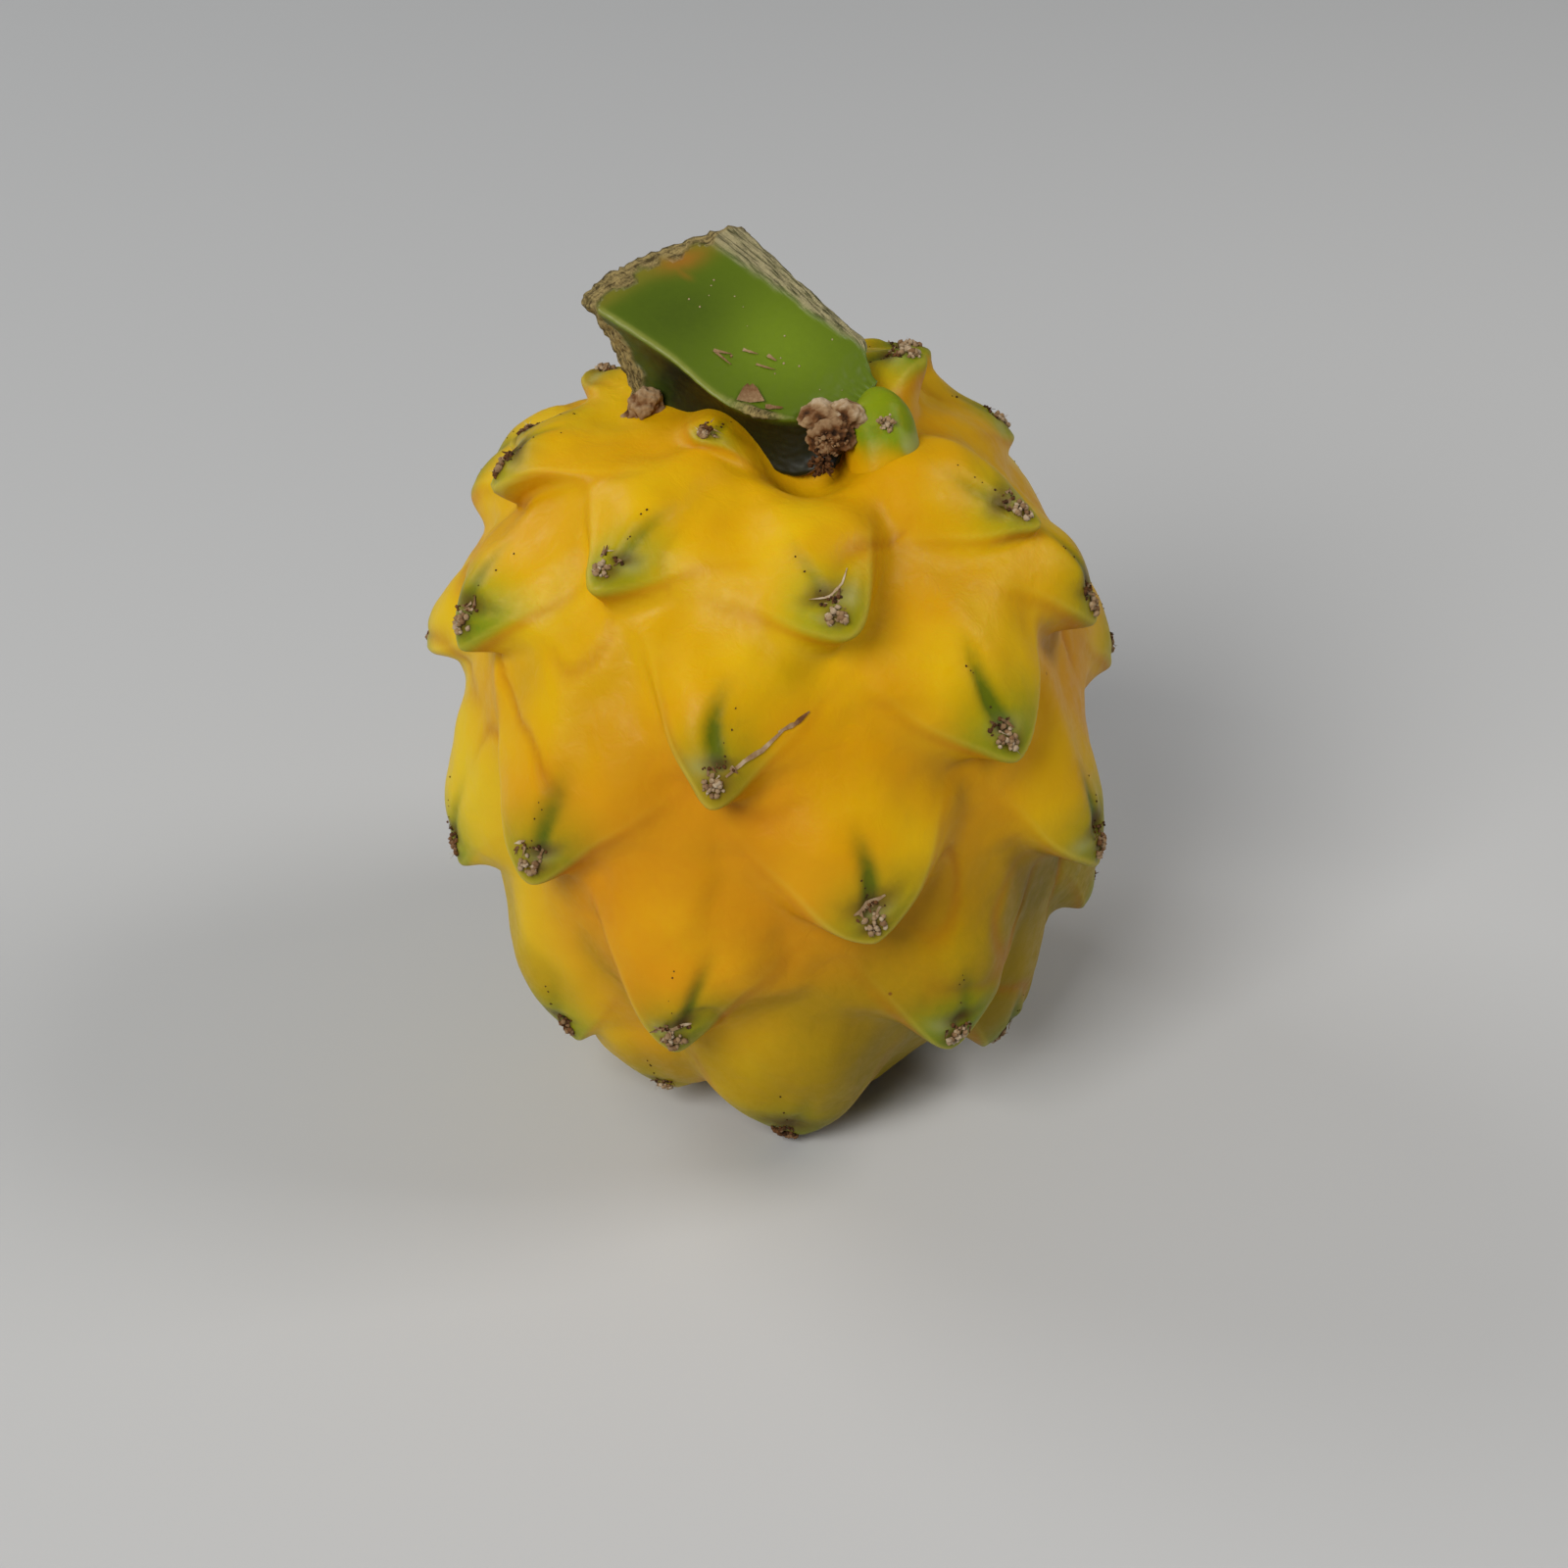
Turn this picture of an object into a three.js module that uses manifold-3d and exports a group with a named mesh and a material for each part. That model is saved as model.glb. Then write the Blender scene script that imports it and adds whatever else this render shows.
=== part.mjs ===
// Yellow dragon fruit, picked with a short chunk of its three-ribbed stem.
// Millimetres, +Z up. The fruit stands on its flower scar, which lies on z = 0 round the origin.
// Its front, the side with the lowest long tubercle, faces -Y.

import * as THREE from 'three';
import { mergeVertices } from 'three/addons/utils/BufferGeometryUtils.js';
import Module from 'manifold-3d';

// The smooth body under the tubercles: a blunt ovoid, broad at the shoulder and narrower at the flower end
const BODY_RADIUS = 39.6;
const EQUATOR_HEIGHT = 46;
const STEM_HALF = 46;
const FLOWER_HALF = 47;
const STEM_BLUNTNESS = 2.5;
const FLOWER_BLUNTNESS = 2.15;
const STEM_END_LEAN = 1.2;

// The hollow in the stem end, in which the front of the stem shows
const HOLLOW_CENTRE = [4, -10.5];
const HOLLOW_RADIUS = 6.5;
const HOLLOW_DEPTH = 5;

// Faces along one side of the ball that the skin is drawn on
const SKIN_DETAIL = 18;

// The tubercles wind round the body by the golden angle, from the stem end to the flower scar
const GOLDEN_ANGLE = 137.508;
const FIRST_TUBERCLE = -17;
const LAST_TUBERCLE = 31;
const FRONT_TURN = -11;
const FRONT_POLAR = 67;
const POLAR_STEP = 2.95;
const TURN_VARIES = 6;
const POLAR_VARIES = 3;
const TWIST_VARIES = 12;

// Turn and polar angle by which single tubercles stand off the spiral, as they do on the fruit's front
const OFF_SPIRAL = new Map([
  [-16, [-50, 11]], [-15, [20, -2]], [-13, [-30, -19]], [-10, [13, 5]], [-8, [-4, -6]], [-7, [14, 2]],
  [-5, [-7, -8]], [-3, [2, -5]], [-2, [-4, 0]], [0, [0, 0]], [2, [-6, 0]], [3, [-3, -7]], [5, [0, 3]], [8, [4, 0]],
  [10, [0, 1]], [11, [-3, -3]], [13, [1, 6]], [16, [-2, 3]], [18, [1, 5]], [21, [-4, 15]],
]);

// Degrees by which the tips of some point aside, towards the left of the fruit's front
const TWISTS = new Map([[-8, 12], [-5, -14], [0, 12], [3, -8], [5, 8], [8, -10], [13, 10], [18, 8]]);

// Which arm of the lip is the long one: 1 the left, -1 the right
const LONG_ARMS = new Map([
  [-8, 0.9], [-5, -0.7], [-3, 0.7], [0, 1], [3, -0.6], [5, 1], [8, 0.3], [10, 0.6], [13, 1], [16, -0.3], [18, 0.9],
]);

// How much wider and taller than its neighbours a tubercle grew
const GROWTH = new Map([[-15, [1.2, 1.4]], [-13, [0.8, 0.8]], [5, [1.1, 1.1]], [13, [1.1, 1.1]], [21, [1.3, 1.3]]]);

// One tubercle: a pillow that ends towards the flower in a pinched beak with a V-shaped lip
const BEAK_HEIGHT = 4.2;
const BEAK_LENGTH = 11;
const BEAK_WIDTH = 8.5;
const BEAK_FULLNESS = 0.7;
const ARM_STRETCH = 0.45;
const ARM_SHARPEN = 0.45;
const LIP_DROP = 2.2;
const LIP_SOFTEN = 0.3;
const LIP_SPREAD = 1.15;
const TIP_ROUNDING = 1.7;
const SLANT = 0.6;
const BLEND = 3;
const SWELL_HEIGHT = 3.2;
const SWELL_WIDTH = 11;
const SWELL_ABOVE = 11;
const SWELL_BELOW = 8;
const SWELL_OFFSET = 7;
const SWELL_FULLNESS = 1.25;
const REACH = 45;
const MOST_STRETCH = 1.6;
const HEIGHT_VARIES = 0.15;
const LIP_VARIES = 0.15;
const SKEW_VARIES = 0.15;

// Tubercles shrink towards both ends, and the outermost ones on the spiral stay low
const SMALLEST_AT_ENDS = 0.65;
const FULL_SIZE_POLAR = 88;
const SIZE_FADE_POLAR = 75;
const FIRST_FULL = -12;
const FADE_AT_STEM = 14;
const LOWEST_AT_STEM = 0.45;
const LAST_FULL = 22;
const FADE_AT_FLOWER = 12;
const LOWEST_AT_FLOWER = 0.25;

// Share of its beak that a soft tubercle before the stem has
const SOFT_TUBERCLES = new Map([[-13, 0.3]]);

// The smooth lobe that grew beside the wrinkled end of the stem and leans back against it
const LOBE_CENTRE = [15.4, -8.5, 90.3];
const LOBE_RADII = [3.6, 5.2, 7.3];
const LOBE_LEAN = 37;
const LOBE_DETAIL = 4;

// The corky areole pad near the tip of each tubercle
const PAD_RADIUS = 2.1;
const PAD_HEIGHT = 0.8;
const PAD_FROM_LIP = 3;
const TILT_PROBE = 0.03;

// The stem chunk: three ribs run from the cut end to the wrinkled end, and its keel sits in the fruit.
// The cut end bulges between the front and back ribs, by a quarter of CUT_BULGE halfway.
const FRONT_RIB = [[-20, 6.5, 106], [-10.5, -1, 101.5], [-2, -8, 96.5], [10, -9.5, 94]];
const BACK_RIB = [[2, 18, 109], [9.5, 9, 103.5], [17.5, -0.5, 98]];
const KEEL = [[-13.5, 3, 89], [-2, -5, 87], [8, -12, 86]];
const FACE_HOLLOW = 0.16;
const RIB_THICKNESS = 0.16;
const STEM_STEPS = 12;
const FACE_STEPS = 5;
const END_TAPER_FROM = 0.8;
const END_TAPER_TO = 0.7;
const CUT_BULGE = 14;
const CUT_BULGE_TO = 0.15;
const SEAT_GAP = 0.35;

// The woolly areole knob on the front rib, beside the wrinkled end
const KNOB_CENTRE = [9.5, -9.5, 94.5];
const KNOB_RADII = [4.2, 3.4, 3.6];
const KNOB_LUMPS = 0.14;
const KNOB_DETAIL = 2;

// One random draw for each purpose
const DRAW = { height: 1, lip: 2, skew: 3, turn: 4, polar: 5, twist: 6, arm: 10, knob: 11 };

const wasm = await Module();
wasm.setup();

const toRadians = THREE.MathUtils.degToRad;
const ORIGIN = new THREE.Vector2();

// A repeatable number from -most to most for each index and draw
function vary(index, draw, most) {
  const wave = Math.abs(Math.sin(index * 12.9898 + draw * 78.233) * 43758.5453);
  return most * (2 * (wave - Math.floor(wave)) - 1);
}

function weld(geometry) {
  geometry.deleteAttribute('normal');
  geometry.deleteAttribute('uv');
  return mergeVertices(geometry);
}

function toSolid(geometry) {
  const vertProperties = new Float32Array(geometry.attributes.position.array);
  const triVerts = new Uint32Array(geometry.index.array);
  return new wasm.Manifold(new wasm.Mesh({ numProp: 3, vertProperties, triVerts }));
}

function toGeometry(solid) {
  const mesh = solid.getMesh();
  const geometry = new THREE.BufferGeometry();
  geometry.setAttribute('position', new THREE.BufferAttribute(mesh.vertProperties, 3));
  geometry.setIndex(new THREE.BufferAttribute(mesh.triVerts, 1));
  geometry.computeVertexNormals();
  return geometry;
}

function reshape(geometry, move) {
  const position = geometry.attributes.position;
  const point = new THREE.Vector3();
  for (let i = 0; i < position.count; i += 1) {
    const moved = move(point.fromBufferAttribute(position, i), i);
    position.setXYZ(i, moved.x, moved.y, moved.z);
  }
  return geometry;
}

// The body's half height and bluntness above and below its widest section
function halfAt(z) {
  return z > 0 ? [STEM_HALF, STEM_BLUNTNESS] : [FLOWER_HALF, FLOWER_BLUNTNESS];
}

// The point of the smooth body in one direction from its centre
function bodyPoint(direction) {
  const [half, bluntness] = halfAt(direction.z);
  const across = Math.hypot(direction.x, direction.y) / BODY_RADIUS;
  const along = Math.abs(direction.z) / half;
  return direction.clone().multiplyScalar((across ** bluntness + along ** bluntness) ** (-1 / bluntness));
}

// The body's outward normal at a point, and its direction towards the flower end
function bodyFrame(point) {
  const [half, bluntness] = halfAt(point.z);
  const radius = Math.hypot(point.x, point.y);
  const outward = (radius / BODY_RADIUS) ** (bluntness - 1) / BODY_RADIUS;
  const upward = Math.sign(point.z) * (Math.abs(point.z) / half) ** (bluntness - 1) / half;
  const length = Math.hypot(outward, upward);
  const spoke = new THREE.Vector3(point.x, point.y, 0).divideScalar(Math.max(radius, 1e-6));
  const normal = spoke.clone().multiplyScalar(outward / length).setZ(upward / length);
  const toFlower = spoke.clone().multiplyScalar(upward / length).setZ(-outward / length);
  return { normal, toFlower };
}

function makeTubercle(index) {
  const random = [vary(index, DRAW.turn, TURN_VARIES), vary(index, DRAW.polar, POLAR_VARIES)];
  const [offTurn, offPolar] = OFF_SPIRAL.get(index) ?? random;
  const turn = toRadians(FRONT_TURN + index * GOLDEN_ANGLE + offTurn);
  const polar = FRONT_POLAR + index * POLAR_STEP + offPolar;
  const cosine = Math.cos(toRadians(polar));
  const [half, bluntness] = halfAt(cosine);
  const radius = BODY_RADIUS * (1 - Math.abs(cosine) ** bluntness) ** (1 / bluntness);
  const foot = new THREE.Vector3(radius * Math.sin(turn), -radius * Math.cos(turn), half * cosine);
  const { normal, toFlower } = bodyFrame(foot);
  const fromMiddle = Math.min(1, Math.abs(polar - FULL_SIZE_POLAR) / SIZE_FADE_POLAR);
  const [wider, taller] = GROWTH.get(index) ?? [1, 1];
  let tall = taller * (1 + vary(index, DRAW.height, HEIGHT_VARIES));
  if (index > LAST_FULL) tall *= Math.max(LOWEST_AT_FLOWER, 1 - (index - LAST_FULL) / FADE_AT_FLOWER);
  if (index < FIRST_FULL) tall *= Math.max(LOWEST_AT_STEM, 1 - (FIRST_FULL - index) / FADE_AT_STEM);
  return {
    foot,
    toFlower,
    across: new THREE.Vector3().crossVectors(toFlower, normal),
    size: wider * (1 - (1 - SMALLEST_AT_ENDS) * fromMiddle ** 2),
    tall,
    spread: LIP_SPREAD * (1 + vary(index, DRAW.lip, LIP_VARIES)),
    skew: vary(index, DRAW.skew, SKEW_VARIES),
    twist: toRadians(TWISTS.get(index) ?? vary(index, DRAW.twist, TWIST_VARIES)),
    pinch: SOFT_TUBERCLES.get(index) ?? 1,
    longArm: LONG_ARMS.get(index) ?? vary(index, DRAW.arm, 1),
  };
}

const tubercles = [];
for (let index = FIRST_TUBERCLE; index <= LAST_TUBERCLE; index += 1) tubercles.push(makeTubercle(index));

// Height of one tubercle over the body, at a point given from its foot
function tubercleHeight(tubercle, offset) {
  const flatAcross = offset.dot(tubercle.across);
  const flatDown = offset.dot(tubercle.toFlower);
  const flat = Math.max(Math.hypot(flatAcross, flatDown), 1e-6);
  const stretch = Math.min(offset.length() / flat, MOST_STRETCH) / tubercle.size;
  const place = new THREE.Vector2(flatAcross * stretch, flatDown * stretch);
  place.x += tubercle.skew * place.y;
  const { x: across, y: down } = place.rotateAround(ORIGIN, tubercle.twist);
  const arm = tubercle.longArm * Math.tanh(across / TIP_ROUNDING);
  const lip = tubercle.spread * (TIP_ROUNDING - Math.hypot(across, TIP_ROUNDING));
  const drop = (LIP_DROP + LIP_SOFTEN * Math.abs(across)) * (1 - ARM_SHARPEN * arm);
  const underLip = 1 - THREE.MathUtils.smoothstep(down - lip, 0, drop);
  const fromTip = Math.hypot(across / BEAK_WIDTH, down / BEAK_LENGTH) / (1 + ARM_STRETCH * arm);
  const beak = underLip * Math.exp(-(fromTip ** (2 * BEAK_FULLNESS)));
  const along = down + SWELL_OFFSET;
  const fromTop = Math.hypot(across / SWELL_WIDTH, along / (along < 0 ? SWELL_ABOVE : SWELL_BELOW));
  const swell = Math.exp(-(fromTop ** (2 * SWELL_FULLNESS)));
  return tubercle.tall * (BEAK_HEIGHT * tubercle.pinch * beak + SWELL_HEIGHT * swell);
}

// The rind in one direction from the body's centre, grown outwards by a given amount
function rindPoint(direction, grow = 0) {
  const point = bodyPoint(direction);
  const { normal, toFlower } = bodyFrame(point);
  let total = 0;
  for (const tubercle of tubercles) {
    const offset = point.clone().sub(tubercle.foot);
    if (offset.length() < REACH) total += tubercleHeight(tubercle, offset) ** BLEND;
  }
  const height = total ** (1 / BLEND);
  point.addScaledVector(normal, height + grow).addScaledVector(toFlower, SLANT * height);
  point.x -= STEM_END_LEAN * (Math.max(point.z, 0) / STEM_HALF) ** 2;
  const fromHollow = Math.hypot(point.x - HOLLOW_CENTRE[0], point.y - HOLLOW_CENTRE[1]) / HOLLOW_RADIUS;
  if (point.z > 0) point.z -= HOLLOW_DEPTH * Math.exp(-(fromHollow ** 2));
  point.z += EQUATOR_HEIGHT;
  return point;
}

function makeRind(grow) {
  const ball = weld(new THREE.IcosahedronGeometry(1, SKIN_DETAIL));
  return toSolid(reshape(ball, (direction) => rindPoint(direction.normalize(), grow)));
}

// A corky pad, half sunk in the rind just above a tubercle's lip
function makePad(tubercle, grow) {
  const fromLip = PAD_FROM_LIP * tubercle.size;
  const place = tubercle.foot.clone()
    .addScaledVector(tubercle.toFlower, -fromLip * Math.cos(tubercle.twist))
    .addScaledVector(tubercle.across, -fromLip * Math.sin(tubercle.twist))
    .normalize();
  const centre = rindPoint(place);
  const [down, across] = [tubercle.toFlower, tubercle.across].map((way) => {
    const beside = place.clone().addScaledVector(way, TILT_PROBE).normalize();
    return rindPoint(beside).sub(centre);
  });
  const normal = new THREE.Vector3().crossVectors(across, down).normalize();
  const turn = new THREE.Quaternion().setFromUnitVectors(new THREE.Vector3(0, 0, 1), normal);
  const radius = PAD_RADIUS * tubercle.size + grow;
  const ball = weld(new THREE.IcosahedronGeometry(1, 0));
  ball.scale(radius, radius, PAD_HEIGHT + grow);
  ball.applyQuaternion(turn);
  ball.translate(centre.x, centre.y, centre.z);
  return toSolid(ball);
}

function makeLobe(grow) {
  const ball = weld(new THREE.IcosahedronGeometry(1, LOBE_DETAIL));
  ball.scale(...LOBE_RADII.map((radius) => radius + grow));
  ball.rotateX(-toRadians(LOBE_LEAN));
  ball.translate(...LOBE_CENTRE);
  return toSolid(ball);
}

function makeFruit() {
  let solid = makeRind(0).add(makeLobe(0));
  for (const tubercle of tubercles) solid = solid.add(makePad(tubercle, 0));
  const below = new THREE.BoxGeometry(4 * BODY_RADIUS, 4 * BODY_RADIUS, FLOWER_HALF);
  below.translate(0, 0, -FLOWER_HALF / 2);
  return solid.subtract(toSolid(weld(below)));
}

// The stem's section on a triangle with a rib at each corner: hollow faces and blunt ribs
function stemSection() {
  const corners = [0, 1, 2].map((i) => {
    const angle = Math.PI / 2 + (i * 2 * Math.PI) / 3;
    return new THREE.Vector2(Math.cos(angle), Math.sin(angle));
  });
  const shape = new THREE.Shape();
  corners.forEach((corner, i) => {
    const next = corners[(i + 1) % 3];
    const start = corner.clone().lerp(next, RIB_THICKNESS);
    const end = next.clone().lerp(corner, RIB_THICKNESS);
    const hollow = start.clone().add(end).multiplyScalar(0.5 * (1 - FACE_HOLLOW));
    const after = next.clone().lerp(corners[(i + 2) % 3], RIB_THICKNESS);
    if (i === 0) shape.moveTo(start.x, start.y);
    shape.quadraticCurveTo(hollow.x, hollow.y, end.x, end.y);
    shape.quadraticCurveTo(next.x, next.y, after.x, after.y);
  });
  return { shape, corners };
}

function ribCurve(points) {
  return new THREE.CatmullRomCurve3(points.map((p) => new THREE.Vector3(...p)));
}

// Corner weights of a point in the section's triangle
function cornerWeights(point, corners) {
  return corners.map((corner) => (1 + 2 * (point.x * corner.x + point.y * corner.y)) / 3);
}

function makeStemChunk() {
  const { shape, corners } = stemSection();
  const ribs = [FRONT_RIB, KEEL, BACK_RIB].map(ribCurve);
  const lengthWay = new THREE.Vector3();
  for (const rib of ribs) lengthWay.add(rib.getPoint(1)).sub(rib.getPoint(0));
  lengthWay.normalize();
  const options = { depth: 1, steps: STEM_STEPS, curveSegments: FACE_STEPS, bevelEnabled: false };
  const chunk = weld(new THREE.ExtrudeGeometry(shape, options));
  return toSolid(reshape(chunk, (point) => {
    const taper = THREE.MathUtils.smoothstep(point.z, END_TAPER_FROM, 1);
    const scale = 1 - (1 - END_TAPER_TO) * taper;
    const weights = cornerWeights({ x: point.x * scale, y: point.y * scale }, corners);
    const along = Math.min(Math.max(point.z, 0), 1);
    const place = new THREE.Vector3();
    ribs.forEach((rib, i) => place.addScaledVector(rib.getPoint(along), weights[i]));
    const bulge = CUT_BULGE * Math.max(0, weights[0] * weights[2]) * Math.max(0, 1 - along / CUT_BULGE_TO);
    return place.addScaledVector(lengthWay, -bulge);
  }));
}

function makeKnob() {
  const ball = weld(new THREE.IcosahedronGeometry(1, KNOB_DETAIL));
  reshape(ball, (point, i) => point.multiplyScalar(1 + vary(i, DRAW.knob, KNOB_LUMPS)));
  ball.scale(...KNOB_RADII);
  ball.translate(...KNOB_CENTRE);
  return toSolid(ball);
}

function makeStem() {
  let solid = makeStemChunk().add(makeKnob()).subtract(makeRind(SEAT_GAP)).subtract(makeLobe(SEAT_GAP));
  for (const tubercle of tubercles) solid = solid.subtract(makePad(tubercle, SEAT_GAP));
  const pieces = solid.decompose();
  return pieces.reduce((largest, piece) => (piece.volume() > largest.volume() ? piece : largest));
}

const rindMaterial = new THREE.MeshStandardMaterial({ color: '#d9a51a', roughness: 0.45, metalness: 0 });
const stemMaterial = new THREE.MeshStandardMaterial({ color: '#56701f', roughness: 0.5, metalness: 0 });

const fruit = new THREE.Mesh(toGeometry(makeFruit()), rindMaterial);
fruit.name = 'fruit';

const stem = new THREE.Mesh(toGeometry(makeStem()), stemMaterial);
stem.name = 'stem';

const group = new THREE.Group();
group.add(fruit, stem);

export default group;
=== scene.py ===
import math

import bmesh
import bpy
import numpy as np
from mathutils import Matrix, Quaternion, Vector, noise


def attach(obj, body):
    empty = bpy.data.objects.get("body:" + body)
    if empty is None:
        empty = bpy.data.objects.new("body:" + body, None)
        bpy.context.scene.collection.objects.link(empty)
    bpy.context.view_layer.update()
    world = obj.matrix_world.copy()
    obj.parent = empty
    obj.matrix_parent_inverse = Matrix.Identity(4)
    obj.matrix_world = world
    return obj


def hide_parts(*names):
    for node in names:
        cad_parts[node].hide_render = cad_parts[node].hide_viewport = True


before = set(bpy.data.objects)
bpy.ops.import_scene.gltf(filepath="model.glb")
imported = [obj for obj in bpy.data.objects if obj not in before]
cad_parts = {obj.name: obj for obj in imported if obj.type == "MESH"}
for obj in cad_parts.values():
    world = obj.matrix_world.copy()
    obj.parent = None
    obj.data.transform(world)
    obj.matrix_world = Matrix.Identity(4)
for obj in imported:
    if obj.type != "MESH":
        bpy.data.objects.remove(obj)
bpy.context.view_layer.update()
mm = 0.001  # lengths below are millimetres, Blender works in metres
print("frame loaded:", sorted(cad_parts))

# The same ovoid, spiral and tubercles as the solids have
body = {
    "radius": 39.6, "middle": 46.0, "lean": 1.2,
    "halfTop": 46.0, "bluntTop": 2.5,
    "halfBottom": 47.0, "bluntBottom": 2.15,
    "hollow": (4.0, -10.5), "hollowRadius": 6.5, "hollowDepth": 5.0,
}
spiral = {
    "turn": 137.508, "first": -17, "last": 31, "frontTurn": -11.0, "frontPolar": 67.0, "polarStep": 2.95,
    "turnVaries": 6.0, "polarVaries": 3.0, "twistVaries": 12.0,
}
tubercle = {
    "height": 4.2, "length": 11.0, "width": 8.5, "fullness": 0.7, "armStretch": 0.45, "armSharpen": 0.55,
    "lipDrop": 2.2, "lipSoften": 0.75, "lipSpread": 1.15, "tipRounding": 1.7, "slant": 0.6, "blend": 3.0,
    "swell": 3.2, "swellWidth": 11.0, "swellAbove": 11.0, "swellBelow": 8.0, "swellOffset": 7.0,
    "swellFullness": 1.25,
    "varies": 0.15, "mostStretch": 1.6, "reach": 45.0, "areoleFromLip": 3.0,
    "smallest": 0.65, "fullPolar": 88.0, "fadePolar": 75.0,
    "firstFull": -12, "fadeAtStem": 14, "lowestAtStem": 0.45,
    "lastFull": 22, "fadeAtFlower": 12, "lowestAtFlower": 0.25,
}
# Degrees of turn and of polar angle by which single tubercles stand off the spiral
offSpiral = {
    -16: (-50, 11), -15: (20, -2), -13: (-30, -19), -10: (13, 5), -8: (-4, -6), -7: (14, 2), -5: (-7, -8),
    -3: (2, -5), -2: (-4, 0), 0: (0, 0), 2: (-6, 0), 3: (-3, -7), 5: (0, 3), 8: (4, 0), 10: (0, 1),
    11: (-3, -3), 13: (1, 6), 16: (-2, 3), 18: (1, 5), 21: (-4, 15),
}
# Degrees by which the tips of some point aside, towards the left of the fruit's front
twists = {-8: 12, -5: -14, 0: 12, 3: -8, 5: 8, 8: -10, 13: 10, 18: 8}
# Which arm of the lip is the long one: 1 the left, -1 the right
arms = {-8: 0.9, 0: 1.0, -5: -0.7, 8: 0.3, 13: 1.0, 5: 1.0, 18: 0.9, 3: -0.6, -3: 0.7, 10: 0.6, 16: -0.3}
# How much wider and taller than its neighbours a tubercle grew
growth = {-15: (1.2, 1.4), -13: (0.8, 0.8), 5: (1.1, 1.1), 13: (1.1, 1.1), 21: (1.3, 1.3)}
# How blunt the tips of some are, in millimetres
bluntTips = {-8: 2.3, -5: 2.4, 3: 2.0, 8: 2.8, 13: 2.2}
# Share of its beak that a soft tubercle before the stem has
softTubercles = {-13: 0.3}
# How large the sunken brown pit above an areole is, where it stands out
pits = {
    -16: 1.6, -15: 1.5, -11: 1.7, -10: 1.6, -5: 1.5, -3: 1.5, -2: 1.6, 2: 1.5,
    5: 1.2, 8: 1.7, 10: 1.6, 11: 1.5, 13: 1.4, 16: 1.2, 18: 1.3, 21: 2.0,
}
# How strong the green furrow above an areole is, where it stands out
furrows = {-8: 0.7, -5: 0.5, 0: 1.3, 3: 1.3, 5: 1.0, 8: 1.3, 11: 1.1, 13: 0.9}
# What time did to the skin, and where light and shade are painted on it: millimetres of relief and reach,
# and pairs between which a mask comes up
skin = {
    "sphereLevel": 7,
    "fineNear": ((11.0, -3.2, np.inf), (18.0, -2.2, 2.2)),  # from a tip, and from below to above its lip
    "warpSize": 8.0, "warp": 1.3, "warpShifts": (293, 390, 120), "fraySize": 1.1, "lipEdge": (-1.6, 0.4),
    "greenShare": (0.8, 0.2), "greenReach": 8.0, "greenTall": 1.1, "greenAbove": 2.0,
    "greenEdge": (0.25, 1.15),
    "grooveShare": (0.55, 0.45), "grooveDepth": 0.6, "grooveWidth": 0.95, "grooveBend": 1.5,
    "bendOver": 8.0, "grooveStart": (3.5, 5.0), "grooveEnd": (6.5, 15.0),
    "rimHeight": 0.22, "rimWidth": 0.5, "rimReach": 10.0, "rimAbove": 0.35,
    "rimShare": 0.65, "rimOnArm": 0.35,
    "cupDepth": 0.35, "cupRadius": 1.5,
    "pitShare": (0.9, 0.3), "pitDepth": 0.4, "pitWide": 1.7, "pitTall": 0.85, "pitAbove": 0.9,
    "pitFray": 0.25, "pitEdge": (-0.2, 0.3),
    "underBelow": 1.4, "underWidth": 1.3, "underReach": 13.0,
    "bloomAside": 3.5, "bloomAbove": 4.5, "bloomWide": 1.6, "bloomTall": 1.1,
    "lumpSize": 8.0, "lumpHeight": 0.65, "lumpsAtStem": 1.8, "stemFrom": (0.45, 0.8),
    "crinkleSize": 3.0, "crinkleHeight": 0.16, "foldWidth": 6.5, "foldLength": 24.0, "foldHeight": 0.7,
    "creaseSize": 13.0, "creaseWidth": 0.07, "creaseDepth": 0.35,
    "creasePatchSize": 20.0, "creasePatch": (0.0, 0.4), "valleyHeight": (1.0, 3.6),
    "valleyFades": ((0.7, 1, 0.3, 0.75), (0.6, -1, 0.15, 0.5)),  # how much, at which end, from and to
    "scarHeight": (0.2, 2.5), "driftSize": 14.0, "drift": 0.1,
    # Which way the sides with painted light and shade face: a left flank made lighter with painted light, a
    # lower front with painted shade, and a lower right with unripe colour and painted shade
    "sides": {
        "unripeAndShade": ((0.55, -0.42, -0.72), 0.45, 1.05),
        "litFlank": ((-0.97, 0.05, -0.24), 0.55, 0.8),
        "frontShade": ((-0.32, -0.93, -0.12), 0.62, 1.05),
    },
    "frontShadeEnd": (0.25, 0.55), "litFlankClears": 0.85,
    "oliveSize": 9.0, "olivePatch": (-0.4, 0.4), "oliveFrom": (0.0, 0.55),
}


def linearColour(code):
    channels = [int(code[i:i + 2], 16) / 255 for i in (1, 3, 5)]
    linear = [c / 12.92 if c <= 0.04045 else ((c + 0.055) / 1.055) ** 2.4 for c in channels]
    return (*linear, 1.0)


def addNode(tree, kind, settings, inputs):
    node = tree.nodes.new(kind)
    for name, value in settings.items():
        setattr(node, name, value)
    for name, value in inputs.items():
        if isinstance(value, bpy.types.NodeSocket):
            tree.links.new(value, node.inputs[name])
        else:
            node.inputs[name].default_value = value
    return node


def vary(index, draw, most):
    wave = abs(math.sin(index * 12.9898 + draw * 78.233) * 43758.5453)
    return most * (2 * (wave - math.floor(wave)) - 1)


def smooth(low, high, value):
    x = np.clip((value - low) / (high - low), 0, 1)
    return x * x * (3 - 2 * x)


def hill(value):
    return np.exp(-value * value)


def halfAt(z):
    half = np.where(z > 0, body["halfTop"], body["halfBottom"])
    blunt = np.where(z > 0, body["bluntTop"], body["bluntBottom"])
    return half, blunt


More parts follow.
